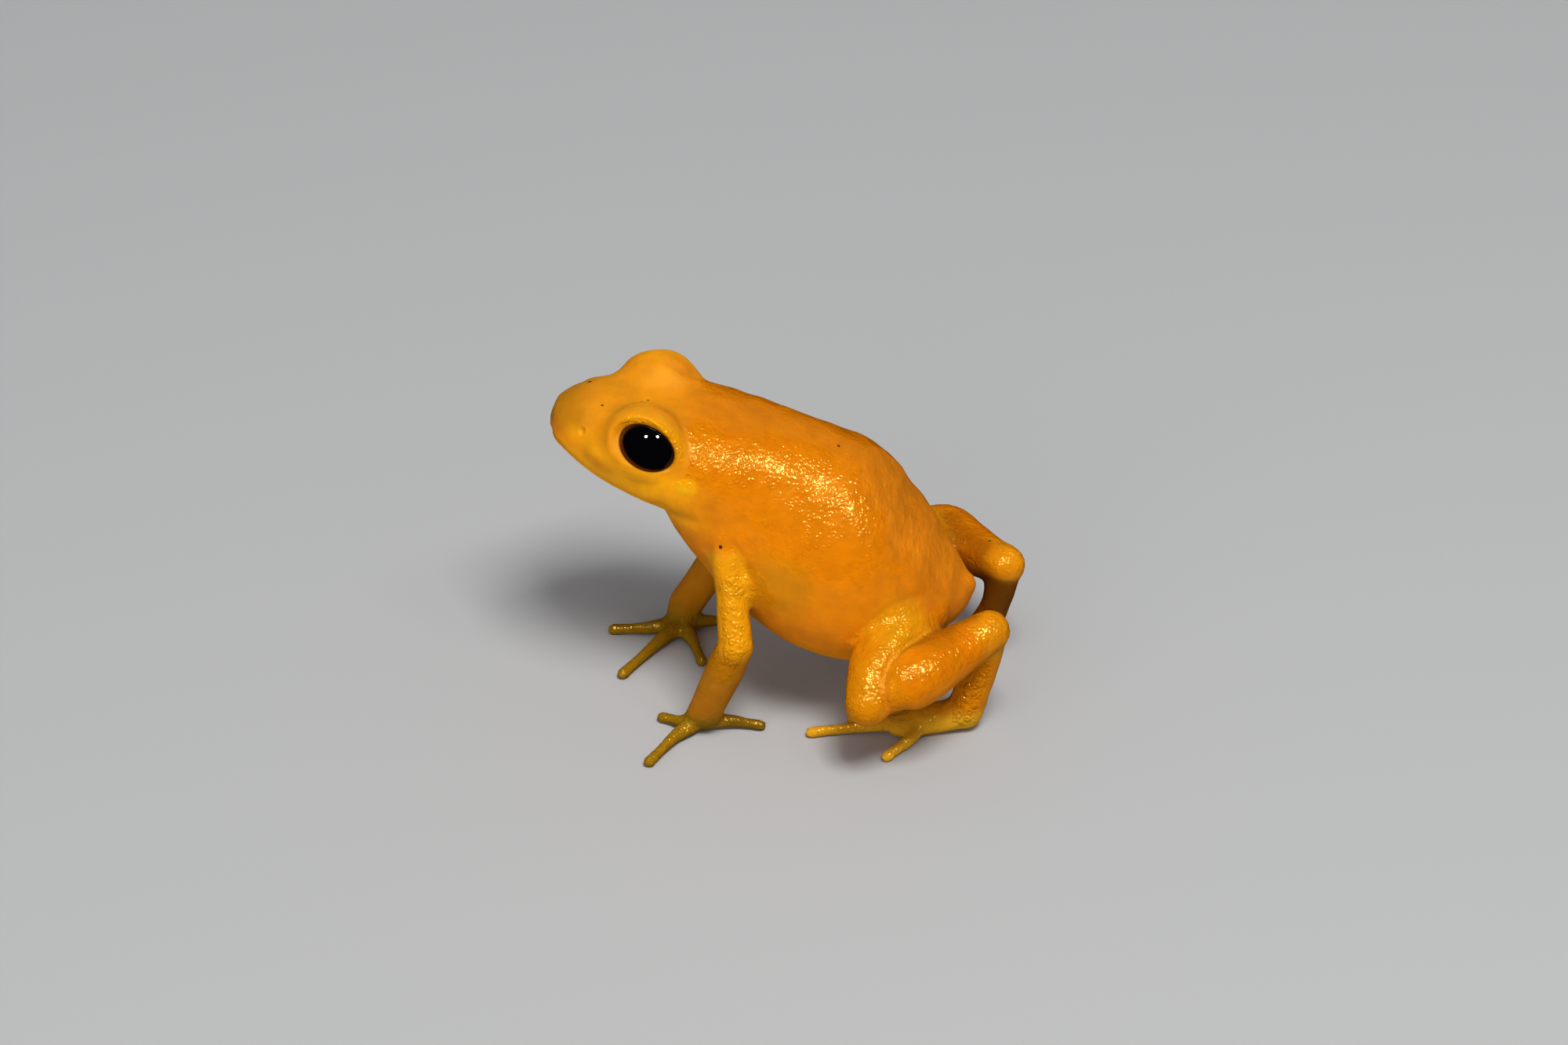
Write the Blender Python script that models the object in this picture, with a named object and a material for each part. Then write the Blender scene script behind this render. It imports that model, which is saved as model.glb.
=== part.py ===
"""A golden mantella, life size and still: a small frog sitting up on its arms, heels raised behind.

Sizes are in millimetres until a mesh is made, then metres. The snout points along -X, the animal's
left side is -Y, up is +Z, and the floor is at z = 0. Every named part is its own closed solid, and
GAP keeps it clear of the part that it grows from.
"""

import bmesh
import bpy
import numpy as np
from mathutils import Matrix, Vector

MM = 0.001

# Clearances and the shift that puts the middle of the footprint over the origin
GAP = 0.3
EYE_GAP = 0.15
CENTRE = np.array([-0.64, 0.35, 0.0])

# Eyes, lids and the cheeks round them, with y counted outwards from the midline; the eyeball's last
# radius lies along its line of sight
EYE_RADII = np.array([1.8, 1.8, 1.72])
EYE = np.array([-7.5, 2.75, 16.4])
EYE_LOOKS = np.array([0.02, 0.92, 0.49])
EYE_SLIT = np.array([1.0, 0.15, -0.52])
EYE_OPENING = (1.53, 1.15)
LID_RADII = np.array([2.28, 1.95, 2.2])
LID = EYE + np.array([-0.24, -0.12, 0.14])
CHEEK = np.array([-8.1, 2.2, 16.0])
CHEEK_RADII = np.array([2.9, 2.05, 1.75])

# Nostrils, mouth line and eardrums
NOSTRIL = np.array([-11.09, 2.3, 16.85])
NOSTRIL_RADIUS = 0.22
LIP_GROOVE_RADIUS = 0.12
LIP_ROW = 6.4
LIP_ANGLE_FRONT = 18.0
LIP_ANGLE_BACK = 32.0
EAR = np.array([-5.3, 4.2, 14.95])
EAR_RADII = np.array([0.48, 0.25, 0.36])

# Trunk from the snout's tip to the vent. Each row is a section across the body's axis: x and z of its
# widest level, half width, height above that level, depth below it, and how square it is above and below.
TRUNK = np.array([
    [-12.95, 16.02, 0.85, 0.85, 0.52, 2.0, 2.0],
    [-12.65, 16.00, 1.50, 1.42, 0.86, 2.0, 2.0],
    [-12.00, 15.90, 2.12, 1.92, 1.16, 2.1, 2.1],
    [-10.90, 15.70, 2.90, 2.25, 1.64, 2.6, 2.2],
    [-9.30, 15.35, 3.75, 2.52, 2.00, 2.9, 2.3],
    [-7.50, 15.00, 4.28, 2.60, 2.30, 2.8, 2.4],
    [-5.80, 14.35, 4.30, 3.40, 2.48, 2.6, 2.3],
    [-4.10, 13.10, 4.34, 4.64, 3.48, 2.4, 2.2],
    [-2.20, 11.42, 4.80, 5.80, 4.12, 2.2, 2.1],
    [-0.30, 9.86, 5.45, 6.36, 4.60, 2.2, 2.1],
    [1.70, 8.62, 5.85, 6.13, 4.80, 2.2, 2.1],
    [3.70, 7.76, 5.70, 5.46, 4.64, 2.2, 2.1],
    [5.50, 7.28, 4.90, 4.32, 4.07, 2.2, 2.1],
    [7.10, 6.95, 3.60, 3.22, 3.00, 2.1, 2.0],
    [8.40, 6.90, 2.10, 2.00, 1.85, 2.0, 2.0],
    [9.15, 6.95, 1.00, 0.95, 0.90, 2.0, 2.0],
])
NECK_ROW = 7

# Joint centres of the limbs, with y counted outwards from the midline
SHOULDER = np.array([-3.4, 3.7, 12.0])
ELBOW = {"left": (-2.5, 6.0, 6.4), "right": (-3.5, 6.4, 6.2)}
WRIST = {"left": (-4.3, 5.3, 1.35), "right": (-6.65, 4.6, 1.4)}
HIP = np.array([7.0, 2.1, 6.8])
KNEE = {"left": (4.75, 8.2, 4.75), "right": (5.0, 8.9, 4.85)}
HEEL = {"left": (10.6, 3.0, 6.3), "right": (10.85, 3.2, 6.35)}
ANKLE = np.array([9.4, 3.0, 1.0])
SHANK_LIFT = {"left": (0.1, 0.82, 0.56), "right": (0.1, 0.35, 0.15)}

# Palms, then each finger's middle and tip, inner finger first, in the frame itself
PALM = {"left": (-4.7, -4.85, 0.5), "right": (-6.9, 4.0, 0.5)}
FINGERS = {
    "left": [
        ((-4.4, -4.0, 0.38), (-4.5, -2.8, 0.24)),
        ((-5.6, -5.0, 0.42), (-6.7, -4.5, 0.24)),
        ((-5.8, -6.45, 0.42), (-6.85, -8.6, 0.24)),
        ((-2.9, -4.65, 0.45), (-1.4, -4.6, 0.24)),
    ],
    "right": [
        ((-5.6, 4.5, 0.40), (-4.4, 4.9, 0.24)),
        ((-6.0, 2.5, 0.42), (-5.3, 0.9, 0.24)),
        ((-8.0, 1.8, 0.45), (-9.4, -0.8, 0.24)),
        ((-8.7, 3.4, 0.42), (-10.5, 3.3, 0.24)),
    ],
}

# Soles, then each toe's middle and tip, inner toe first, with y counted outwards from the midline
SOLE = [(7.2, 3.5, 0.55), (6.0, 4.0, 0.42)]
TOES = [
    ((6.6, 2.6, 0.36), (5.9, 1.9, 0.24)),
    ((5.9, 3.0, 0.36), (4.7, 2.3, 0.24)),
    ((5.2, 3.7, 0.36), (3.4, 3.5, 0.24)),
    ((4.2, 4.2, 0.38), (1.35, 4.9, 0.24)),
    ((6.6, 5.2, 0.38), (5.6, 6.6, 0.24)),
]

# Fineness of the facets
TRUNK_STEPS = 2
TRUNK_SIDES = 36
LIMB_STEPS = 3
LIMB_SIDES = 14
DIGIT_STEPS = 2
DIGIT_SIDES = 8

# Base colour and roughness of each part
BACK_ORANGE = ((0.60, 0.20, 0.004), 0.35)
FACE_ORANGE = ((0.64, 0.26, 0.006), 0.32)
LIMB_ORANGE = ((0.66, 0.27, 0.008), 0.30)
DIGIT_YELLOW = ((0.58, 0.27, 0.012), 0.35)
EYE_BLACK = ((0.004, 0.003, 0.003), 0.05)


def unit(v):
    """The vector, or each row of them, at length one."""
    v = np.asarray(v, float)
    return v / np.linalg.norm(v, axis=-1, keepdims=True)


def between(a, b, share):
    """The point that share of the way from a to b."""
    return np.asarray(a) + (np.asarray(b) - np.asarray(a)) * share


def sided(point, side):
    """A point given with y outwards, placed on that side of the animal."""
    return np.asarray(point, float) * np.array([1, -1 if side == "left" else 1, 1])


def row(point, half_width, half_depth):
    """One row of a limb's path."""
    return [*point, half_width, half_depth]


def smooth_rows(rows, steps):
    """Rows on a Catmull-Rom curve through the given rows, that many steps to each span."""
    rows = np.asarray(rows, float)
    padded = np.vstack([2 * rows[0] - rows[1], rows, 2 * rows[-1] - rows[-2]])
    t = np.linspace(0, 1, steps, endpoint=False)[:, None]
    spans = []
    for a, b, c, d in zip(padded, padded[1:], padded[2:], padded[3:]):
        bend = 2 * a - 5 * b + 4 * c - d
        twist = 3 * b - a - 3 * c + d
        spans.append(b + 0.5 * ((c - a) * t + bend * t**2 + twist * t**3))
    return np.vstack([*spans, rows[-1:]])


def new_object(name, mesh):
    """An object for the mesh, kept among the tools until it is finished."""
    home = bpy.data.collections.get("tools")
    if home is None:
        home = bpy.data.collections.new("tools")
        bpy.context.scene.collection.children.link(home)
    obj = bpy.data.objects.new(name, mesh)
    home.objects.link(obj)
    obj.hide_render = True
    obj.display_type = "WIRE"
    return obj


def closed_loft(name, rings, first_pole, last_pole):
    """A closed mesh through rings of points, each end closed by a fan to its pole."""
    count, sides = rings.shape[:2]
    points = np.vstack([rings.reshape(-1, 3), first_pole, last_pole]) * MM
    index = np.arange(count * sides).reshape(count, sides)
    ahead = np.roll(index, -1, axis=1)
    quads = np.stack([index[:-1], ahead[:-1], ahead[1:], index[1:]], axis=-1).reshape(-1, 4)
    start = np.stack([np.full(sides, count * sides), ahead[0], index[0]], axis=-1)
    end = np.stack([np.full(sides, count * sides + 1), index[-1], ahead[-1]], axis=-1)
    mesh = bpy.data.meshes.new(name)
    mesh.from_pydata(points.tolist(), [], quads.tolist() + start.tolist() + end.tolist())
    shell = bmesh.new()
    shell.from_mesh(mesh)
    if shell.calc_volume(signed=True) < 0:
        bmesh.ops.reverse_faces(shell, faces=shell.faces)
    shell.to_mesh(mesh)
    shell.free()
    return new_object(name, mesh)


def trunk_axes(rows):
    """Unit vectors along the trunk's axis and up from it, both in the midline plane."""
    along = unit(np.gradient(np.column_stack([rows[:, 0], 0 * rows[:, 0], rows[:, 1]]), axis=0))
    return along, np.column_stack([-along[:, 2], 0 * along[:, 0], along[:, 0]])


def trunk_points(rows, angle, grow=0.0):
    """Points on the trunk's skin, angle round each section: 0 is the animal's right, 90 degrees its back."""
    _, up = trunk_axes(rows)
    c, s = np.cos(angle), np.sin(angle)
    square = np.where(s >= 0, rows[:, 5:6], rows[:, 6:7])
    height = np.where(s >= 0, rows[:, 3:4], rows[:, 4:5]) + grow
    across = (rows[:, 2:3] + grow) * np.sign(c) * np.abs(c) ** (2 / square)
    raised = height * np.sign(s) * np.abs(s) ** (2 / square)
    centre = np.column_stack([rows[:, 0], 0 * rows[:, 0], rows[:, 1]])
    return centre[:, None] + across[..., None] * np.array([0.0, 1.0, 0.0]) + raised[..., None] * up[:, None]


def trunk(name, grow=0.0):
    """Head and torso as one loft, larger all round by grow."""
    rows = smooth_rows(TRUNK, TRUNK_STEPS)
    angle = np.linspace(0, 2 * np.pi, TRUNK_SIDES, endpoint=False)[None, :]
    along, _ = trunk_axes(rows)
    rings = trunk_points(rows, angle, grow)
    middles = rings.mean(axis=1)
    first = middles[0] - along[0] * (0.22 + grow)
    last = middles[-1] + along[-1] * (0.45 + grow)
    return closed_loft(name, rings, first, last)


def limb(name, path, across, sides=LIMB_SIDES, steps=LIMB_STEPS, caps=(70, 35)):
    """A tapering limb with rounded ends.

    Each row of path is a point, then the half width along the direction across, then the half depth.
    """
    rows = smooth_rows(path, steps)
    along = unit(np.gradient(rows[:, :3], axis=0))
    side = unit(np.asarray(across, float) - (along @ np.asarray(across, float))[:, None] * along)
    depth = np.cross(along, side)
    size = rows[:, 3:5]
    bend = np.radians(caps)[:, None]
    start = rows[0, :3] - along[0] * size[0].mean() * np.sin(bend)
    end = rows[-1, :3] + along[-1] * size[-1].mean() * np.sin(bend[::-1])
    centres = np.vstack([start, rows[:, :3], end])
    sizes = np.vstack([size[0] * np.cos(bend), size, size[-1] * np.cos(bend[::-1])])
    pick = np.r_[[0] * len(caps), np.arange(len(rows)), [len(rows) - 1] * len(caps)]
    angle = np.linspace(0, 2 * np.pi, sides, endpoint=False)
    rings = (centres[:, None]
             + (sizes[:, :1] * np.cos(angle))[..., None] * side[pick][:, None]
             + (sizes[:, 1:] * np.sin(angle))[..., None] * depth[pick][:, None])
    first = rows[0, :3] - along[0] * size[0].mean()
    last = rows[-1, :3] + along[-1] * size[-1].mean()
    return closed_loft(name, rings, first, last)


def ball(name, centre, radii, segments=20, rings=12):
    """An ellipsoid with its axes along the frame's."""
    mesh = bpy.data.meshes.new(name)
    shell = bmesh.new()
    bmesh.ops.create_uvsphere(shell, u_segments=segments, v_segments=rings, radius=1.0)
    bmesh.ops.scale(shell, vec=Vector(np.asarray(radii, float) * MM), verts=shell.verts)
    bmesh.ops.translate(shell, vec=Vector(np.asarray(centre, float) * MM), verts=shell.verts)
    shell.to_mesh(mesh)
    shell.free()
    return new_object(name, mesh)


def eyeball(name, side, grow, segments, rings):
    """An eyeball, flattened along its line of sight, larger all round by grow."""
    made = ball(name, (0, 0, 0), EYE_RADII + grow, segments, rings)
    turn = Vector(sided(EYE_LOOKS, side)).to_track_quat("Z", "Y").to_matrix().to_4x4()
    made.data.transform(Matrix.Translation(Vector(sided(EYE, side) * MM)) @ turn)
    return made


def slab_beyond(name, point, away, early=GAP / 2):
    """A large block that fills the space beyond a plane, from a little before the point, so that parts clear."""
    reach = 40.0
    away = unit(away)
    mesh = bpy.data.meshes.new(name)
    shell = bmesh.new()
    bmesh.ops.create_cube(shell, size=reach * MM)
    turn = Vector(away).to_track_quat("Z", "Y").to_matrix().to_4x4()
    place = Matrix.Translation(Vector((np.asarray(point) + away * (reach / 2 - early)) * MM))
    bmesh.ops.transform(shell, matrix=place @ turn, verts=shell.verts)
    shell.to_mesh(mesh)
    shell.free()
    return new_object(name, mesh)


def eye_opening(side):
    """The slot between the lids: an oval bore from inside the eyeball outwards."""
    looks = unit(sided(EYE_LOOKS, side))
    slit = sided(EYE_SLIT, side)
    slit = unit(slit - looks * (slit @ looks))
    tall = np.cross(looks, slit)
    start, depth = 0.3, 4.0
    mesh = bpy.data.meshes.new("opening")
    shell = bmesh.new()
    bmesh.ops.create_cone(shell, cap_ends=True, segments=20, radius1=MM, radius2=MM, depth=depth * MM)
    centre = sided(EYE, side) + looks * (start + depth / 2)
    half_long, half_tall = EYE_OPENING
    rows = [[slit[i] * half_long, tall[i] * half_tall, looks[i], centre[i] * MM] for i in range(3)]
    frame = Matrix([*rows, [0, 0, 0, 1]])
    bmesh.ops.transform(shell, matrix=frame, verts=shell.verts)
    shell.to_mesh(mesh)
    shell.free()
    return new_object("opening", mesh)


def lip_groove():
    """A thin round bar along the mouth line, from one corner of the mouth round the snout to the other."""
    rows = smooth_rows(TRUNK, TRUNK_STEPS)
    share = np.linspace(0, 1, 9)
    level = 0.4 + share * (TRUNK_STEPS * LIP_ROW - 0.4)
    here = np.column_stack([np.interp(level, np.arange(len(rows)), column) for column in rows.T])
    angle = np.radians(180 + LIP_ANGLE_FRONT + (LIP_ANGLE_BACK - LIP_ANGLE_FRONT) * share)
    near = trunk_points(here, angle[:, None])[::-1, 0]
    front = np.array([[rows[0, 0] - 0.12, y, rows[0, 1] - 0.42] for y in (-0.45, 0.45)])
    path = np.vstack([near, front, near[::-1] * np.array([1, -1, 1])])
    line = bpy.data.curves.new("groove", "CURVE")
    line.dimensions = "3D"
    line.bevel_depth = LIP_GROOVE_RADIUS * MM
    line.bevel_resolution = 1
    line.use_fill_caps = True
    spline = line.splines.new("POLY")
    spline.points.add(len(path) - 1)
    for point, place in zip(spline.points, path * MM):
        point.co = (*place, 1)
    bar = new_object("groove_line", line)
    mesh = bpy.data.meshes.new_from_object(bar.evaluated_get(bpy.context.evaluated_depsgraph_get()))
    bpy.data.objects.remove(bar)
    shell = bmesh.new()
    shell.from_mesh(mesh)
    bmesh.ops.remove_doubles(shell, verts=shell.verts, dist=1e-7)
    bmesh.ops.recalc_face_normals(shell, faces=shell.faces)
    shell.to_mesh(mesh)
    shell.free()
    return new_object("groove", mesh)


def floor_block():
    """All that lies under the floor."""
    return slab_beyond("floor", (0, 0, 0), (0, 0, -1), 0.0)


def combine(obj, operation, others):
    """Joins or cuts a mesh object with others, applies that, and removes them."""
    operands = bpy.data.collections.new("operands")
    for other in others:
        operands.objects.link(other)
    modifier = obj.modifiers.new(operation.lower(), "BOOLEAN")
    modifier.operation = operation
    modifier.operand_type = "COLLECTION"
    modifier.collection = operands
    made = bpy.data.meshes.new_from_object(obj.evaluated_get(bpy.context.evaluated_depsgraph_get()))
    obj.modifiers.clear()
    obj.data = made
    for other in others:
        bpy.data.objects.remove(other)
    bpy.data.collections.remove(operands)
    keep_largest(obj.data)
    return obj


def keep_largest(mesh):
    """Keeps only a mesh's largest closed surface."""
    shell = bmesh.new()
    shell.from_mesh(mesh)
    bmesh.ops.triangulate(shell, faces=shell.faces)
    todo, islands = set(shell.faces), []
    while todo:
        island, front = set(), [todo.pop()]
        while front:
            face = front.pop()
            island.add(face)
            near = {other for edge in face.edges for other in edge.link_faces} & todo
            todo -= near
            front.extend(near)
        islands.append(island)
    largest = max(islands, key=lambda island: sum(face.calc_area() for face in island))
    for island in islands:
        if island is not largest:
            bmesh.ops.delete(shell, geom=list(island), context="FACES")
    loose = [v for v in shell.verts if not v.link_faces]
    bmesh.ops.delete(shell, geom=loose, context="VERTS")
    shell.to_mesh(mesh)
    shell.free()


def fuse(obj, *others):
    """Joins pieces into the first one."""
    return combine(obj, "UNION", others)


def cut(obj, *others):
    """Cuts pieces out of the first one, one after another."""
    for other in others:
        combine(obj, "DIFFERENCE", [other])
    return obj


def finish(obj, name, look):
    """Names a finished part, shifts it onto the shared origin, and gives it its material."""
    colour, roughness = look
    home = bpy.data.collections.get("golden_mantella")
    if home is None:
        home = bpy.data.collections.new("golden_mantella")
        bpy.context.scene.collection.children.link(home)
    bpy.data.collections["tools"].objects.unlink(obj)
    home.objects.link(obj)
    obj.hide_render = False
    obj.display_type = "TEXTURED"
    obj.name = name
    obj.data.transform(Matrix.Translation(Vector(-CENTRE * MM)))
    obj.data.shade_smooth()
    obj.data.set_sharp_from_angle(angle=0.7)
    material = bpy.data.materials.new(name)
    material.use_nodes = True
    surface = material.node_tree.nodes["Principled BSDF"]
    surface.inputs["Base Color"].default_value = (*colour, 1.0)
    surface.inputs["Roughness"].default_value = roughness
    surface.inputs["Metallic"].default_value = 0.0
    obj.data.materials.clear()
    obj.data.materials.append(material)


def head_and_torso():
    """The trunk, parted at the neck; the head has its lids, eardrums, nostrils and mouth line."""
    rows = smooth_rows(TRUNK, TRUNK_STEPS)
    along, _ = trunk_axes(rows)
    neck = NECK_ROW * TRUNK_STEPS + 1
    point = np.array([rows[neck, 0], 0, rows[neck, 1]])
    torso = cut(trunk("torso"), slab_beyond("front", point, -along[neck]))
    head = cut(trunk("head"), slab_beyond("back", point, along[neck]))
    added, removed = [], []
    for side in ("left", "right"):
        added.append(ball("lid", sided(LID, side), LID_RADII))
        added.append(ball("cheek", sided(CHEEK, side), CHEEK_RADII))
        added.append(ball("ear", sided(EAR, side), EAR_RADII, 10, 6))
        removed.append(eyeball("socket", side, EYE_GAP, 16, 10))
        removed.append(eye_opening(side))
        removed.append(ball("nostril", sided(NOSTRIL, side), [NOSTRIL_RADIUS] * 3, 8, 6))
        eye = eyeball("eye", side, 0.0, 20, 14)
        finish(eye, "eye_" + side, EYE_BLACK)
    fuse(head, *added)
    cut(head, *removed, lip_groove())
    finish(head, "head", FACE_ORANGE)
    finish(torso, "torso", BACK_ORANGE)


def arm(side):
    """Upper arm, forearm and hand, parted across the elbow and the wrist."""
    shoulder, elbow, wrist = (sided(p, side) for p in (SHOULDER, ELBOW[side], WRIST[side]))
    across = (1.0, 0.0, 0.0)
    upper = limb("upper_arm", [
        row(shoulder, 1.02, 1.0),
        row(between(shoulder, elbow, 0.5), 0.86, 0.86),
        row(elbow, 0.93, 0.92),
    ], across)
    fore = limb("forearm", [
        row(elbow, 0.95, 0.92),
        row(between(elbow, wrist, 0.35), 1.02, 0.98),
        row(between(elbow, wrist, 0.75), 0.95, 0.85),
        row(wrist, 0.95, 0.65),
    ], across)
    fold = unit(shoulder - elbow) - unit(wrist - elbow)
    cut(upper, slab_beyond("below_elbow", elbow, -fold), trunk("body", GAP))
    cut(fore, slab_beyond("above_elbow", elbow, fold), slab_beyond("below_wrist", wrist, wrist - elbow))
    finish(upper, "upper_arm_" + side, LIMB_ORANGE)
    finish(fore, "forearm_" + side, LIMB_ORANGE)
    hand(side, wrist, elbow)


def digits(root, middles_and_tips):
    """Fingers or toes from one root, each a little swollen at its tip."""
    root = np.asarray(root, float)
    made = []
    for middle, tip in middles_and_tips:
        made.append(limb("digit", [
            row(root, 0.5, 0.45),
            row(middle, 0.36, 0.34),
            row(between(middle, tip, 0.6), 0.3, 0.3),
            row(tip, 0.36, 0.3),
        ], np.cross(np.asarray(tip) - root, (0, 0, 1.0)), DIGIT_SIDES, DIGIT_STEPS, (50,)))
    return made


def hand(side, wrist, elbow):
    """Palm and four fingers in one solid, flat where it rests on the floor."""
    palm = PALM[side]
    made = limb("hand", [
        row(between(wrist, elbow, 0.1), 0.95, 0.65),
        row(wrist, 0.95, 0.65),
        row(palm, 0.85, 0.55),
    ], (1.0, 0.0, 0.0), 12)
    fuse(made, *digits(palm, FINGERS[side]))
    cut(made, floor_block(), slab_beyond("above_wrist", wrist, elbow - wrist))
    finish(made, "hand_" + side, DIGIT_YELLOW)


def leg(side):
    """Thigh, shank, tarsus and foot, each parted from the next along the fold between them."""
    hip, knee, heel, ankle = (sided(p, side) for p in (HIP, KNEE[side], HEEL[side], ANKLE))
    fold = np.cross(hip - knee, heel - knee)
    bulge = np.array([-0.35, 0.0, 0.6])
    bow = np.array([0.25, 0.0, 0.0])
    lift = sided(SHANK_LIFT[side], side)
    thigh = limb("thigh", [
        row(hip, 1.35, 1.45),
        row(between(hip, knee, 0.35) + bulge * 0.9, 1.55, 1.65),
        row(between(hip, knee, 0.7) + bulge, 1.45, 1.55),
        row(knee, 1.18, 1.25),
    ], fold)
    shank = limb("shank", [
        row(knee, 1.0, 1.1),
        row(between(knee, heel, 0.2) + lift * 0.15, 1.3, 1.45),
        row(between(knee, heel, 0.4) + lift * 0.45, 1.5, 1.6),
        row(between(knee, heel, 0.75) + lift * 0.1, 1.25, 1.38),
        row(heel, 1.12, 1.12),
    ], fold)
    tarsus = limb("tarsus", [
        row(heel, 1.0, 1.0),
        row(between(heel, ankle, 0.45) + bow, 0.78, 0.82),
        row(between(heel, ankle, 0.75) + bow * 0.2, 0.88, 0.98),
        row(ankle, 0.95, 1.0),
    ], fold)
    at_knee = unit(hip - knee) - unit(heel - knee)
    at_heel = unit(knee - heel) - unit(ankle - heel)
    cut(thigh, slab_beyond("shank_side", knee, -at_knee), trunk("body", GAP))
    cut(shank, slab_beyond("thigh_side", knee, at_knee), slab_beyond("tarsus_side", heel, -at_heel))
    cut(shank, trunk("body", GAP))
    cut(tarsus, slab_beyond("shank_side", heel, at_heel), slab_beyond("foot_side", ankle, ankle - heel))
    finish(thigh, "thigh_" + side, LIMB_ORANGE)
    finish(shank, "shank_" + side, LIMB_ORANGE)
    finish(tarsus, "tarsus_" + side, LIMB_ORANGE)
    foot(side, ankle, heel)


def foot(side, ankle, heel):
    """Sole and five toes in one solid, flat where it rests on the floor."""
    root, ball_of_foot = (sided(p, side) for p in SOLE)
    made = limb("foot", [
        row(between(ankle, heel, 0.1), 0.95, 0.9),
        row(ankle, 0.95, 0.85),
        row(root, 1.0, 0.7),
        row(ball_of_foot, 0.8, 0.5),
    ], (0.0, 1.0, 0.0), 12)
    fuse(made, *digits(root, [(sided(m, side), sided(t, side)) for m, t in TOES]))
    cut(made, floor_block(), slab_beyond("above_ankle", ankle, heel - ankle))
    finish(made, "foot_" + side, DIGIT_YELLOW)


def main():
    """Clears the scene, then builds the frog node by node."""
    for obj in list(bpy.data.objects):
        bpy.data.objects.remove(obj)
    head_and_torso()
    for side in ("left", "right"):
        arm(side)
        leg(side)


main()
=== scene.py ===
"""A golden mantella as a life-size model: one wet, grainy skin over the solids, with the eyes apart.

Shapes are worked out in millimetres in the frog's own frame: the snout points along -X, the animal's
left side is -Y, up is +Z and the floor is z = 0. A finished mesh is shifted onto the shared frame.
"""

from __future__ import annotations

import functools
import itertools
import logging
import math
from dataclasses import dataclass, field
from enum import Enum

import bmesh
import bpy
import numpy as np
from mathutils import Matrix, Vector

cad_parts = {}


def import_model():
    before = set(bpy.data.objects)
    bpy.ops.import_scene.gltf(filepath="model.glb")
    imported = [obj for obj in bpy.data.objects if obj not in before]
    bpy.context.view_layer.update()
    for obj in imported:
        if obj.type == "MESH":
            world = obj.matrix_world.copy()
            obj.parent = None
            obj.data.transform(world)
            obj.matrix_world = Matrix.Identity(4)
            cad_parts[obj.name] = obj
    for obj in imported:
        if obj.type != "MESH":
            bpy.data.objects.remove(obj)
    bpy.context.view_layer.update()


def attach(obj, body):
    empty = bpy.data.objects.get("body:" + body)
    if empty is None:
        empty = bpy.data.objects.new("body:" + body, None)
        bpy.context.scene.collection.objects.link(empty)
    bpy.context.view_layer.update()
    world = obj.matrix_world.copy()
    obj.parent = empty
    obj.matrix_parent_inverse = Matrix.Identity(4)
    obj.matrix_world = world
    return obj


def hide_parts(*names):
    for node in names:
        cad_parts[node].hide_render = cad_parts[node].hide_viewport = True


log = logging.getLogger("mantella")
Array = np.ndarray
Socket = bpy.types.NodeSocket
Place = tuple[float, float, float]
Pair = tuple[float, float]
RGB = tuple[int, int, int]

MM = 0.001
CENTRE = np.array([-0.64, 0.35, 0.0])
FLESH = ["head", "torso"] + [
    f"{part}_{side}"
    for part in ("upper_arm", "forearm", "hand", "thigh", "shank", "tarsus", "foot")
    for side in ("left", "right")
]


class Side(Enum):
    """A side of the animal, and the sign of y on it."""

    LEFT = "left"
    RIGHT = "right"

    @property
    def sign(self) -> float:
        """-1 on the animal's left, 1 on its right."""
        return -1.0 if self is Side.LEFT else 1.0

    def place(self, point: Array) -> Array:
        """A point, or rows of them, given with y outwards, put on this side. It also turns one back."""
        return np.asarray(point, float) * np.array([1.0, self.sign, 1.0])


def unit(v: Array) -> Array:
    """The vector, or each row of them, at length one."""
    v = np.asarray(v, float)
    return v / np.maximum(np.linalg.norm(v, axis=-1, keepdims=True), 1e-12)


def between(a: Array, b: Array, share: float) -> Array:
    """The point that share of the way from a to b."""
    a, b = np.asarray(a, float), np.asarray(b, float)
    return a + (b - a) * share


def ramp(low: float, high: float, x: Array) -> Array:
    """0 below low, 1 above high, and a cubic ease between; high may be the smaller one."""
    t = np.clip((np.asarray(x, float) - low) / (high - low), 0.0, 1.0)
    return t * t * (3.0 - 2.0 * t)


def hump(x: Array, middle: float, width: float) -> Array:
    """A bell that is 1 at the middle: the exponential of minus the squared distance over the width."""
    return np.exp(-(((np.asarray(x, float) - middle) / width) ** 2))


def linear(red: int, green: int, blue: int) -> Array:
    """A display colour of 0 to 255 as linear light: each share plus 0.055 over 1.055, to the power 2.4."""
    share = np.array([red, green, blue], float) / 255.0
    return np.where(share <= 0.04045, share / 12.92, ((share + 0.055) / 1.055) ** 2.4)


def smooth_rows(rows: Array, steps: int) -> Array:
    """Rows on a Catmull-Rom curve through the given rows.

    Args:
        rows: One row of numbers for each knot.
        steps: How many rows are made for each span.

    Returns:
        The rows of all spans, then the last knot. Each is a cubic in the share of the span.
    """
    rows = np.asarray(rows, float)
    padded = np.vstack([2 * rows[0] - rows[1], rows, 2 * rows[-1] - rows[-2]])
    t = np.linspace(0, 1, steps, endpoint=False)[None, :, None]
    a, b, c, d = (padded[i:len(padded) - 3 + i, None, :] for i in range(4))
    bend = 2 * a - 5 * b + 4 * c - d
    twist = 3 * b - a - 3 * c + d
    spans = b + 0.5 * ((c - a) * t + bend * t**2 + twist * t**3)
    return np.vstack([spans.reshape(-1, rows.shape[1]), rows[-1:]])


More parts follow.
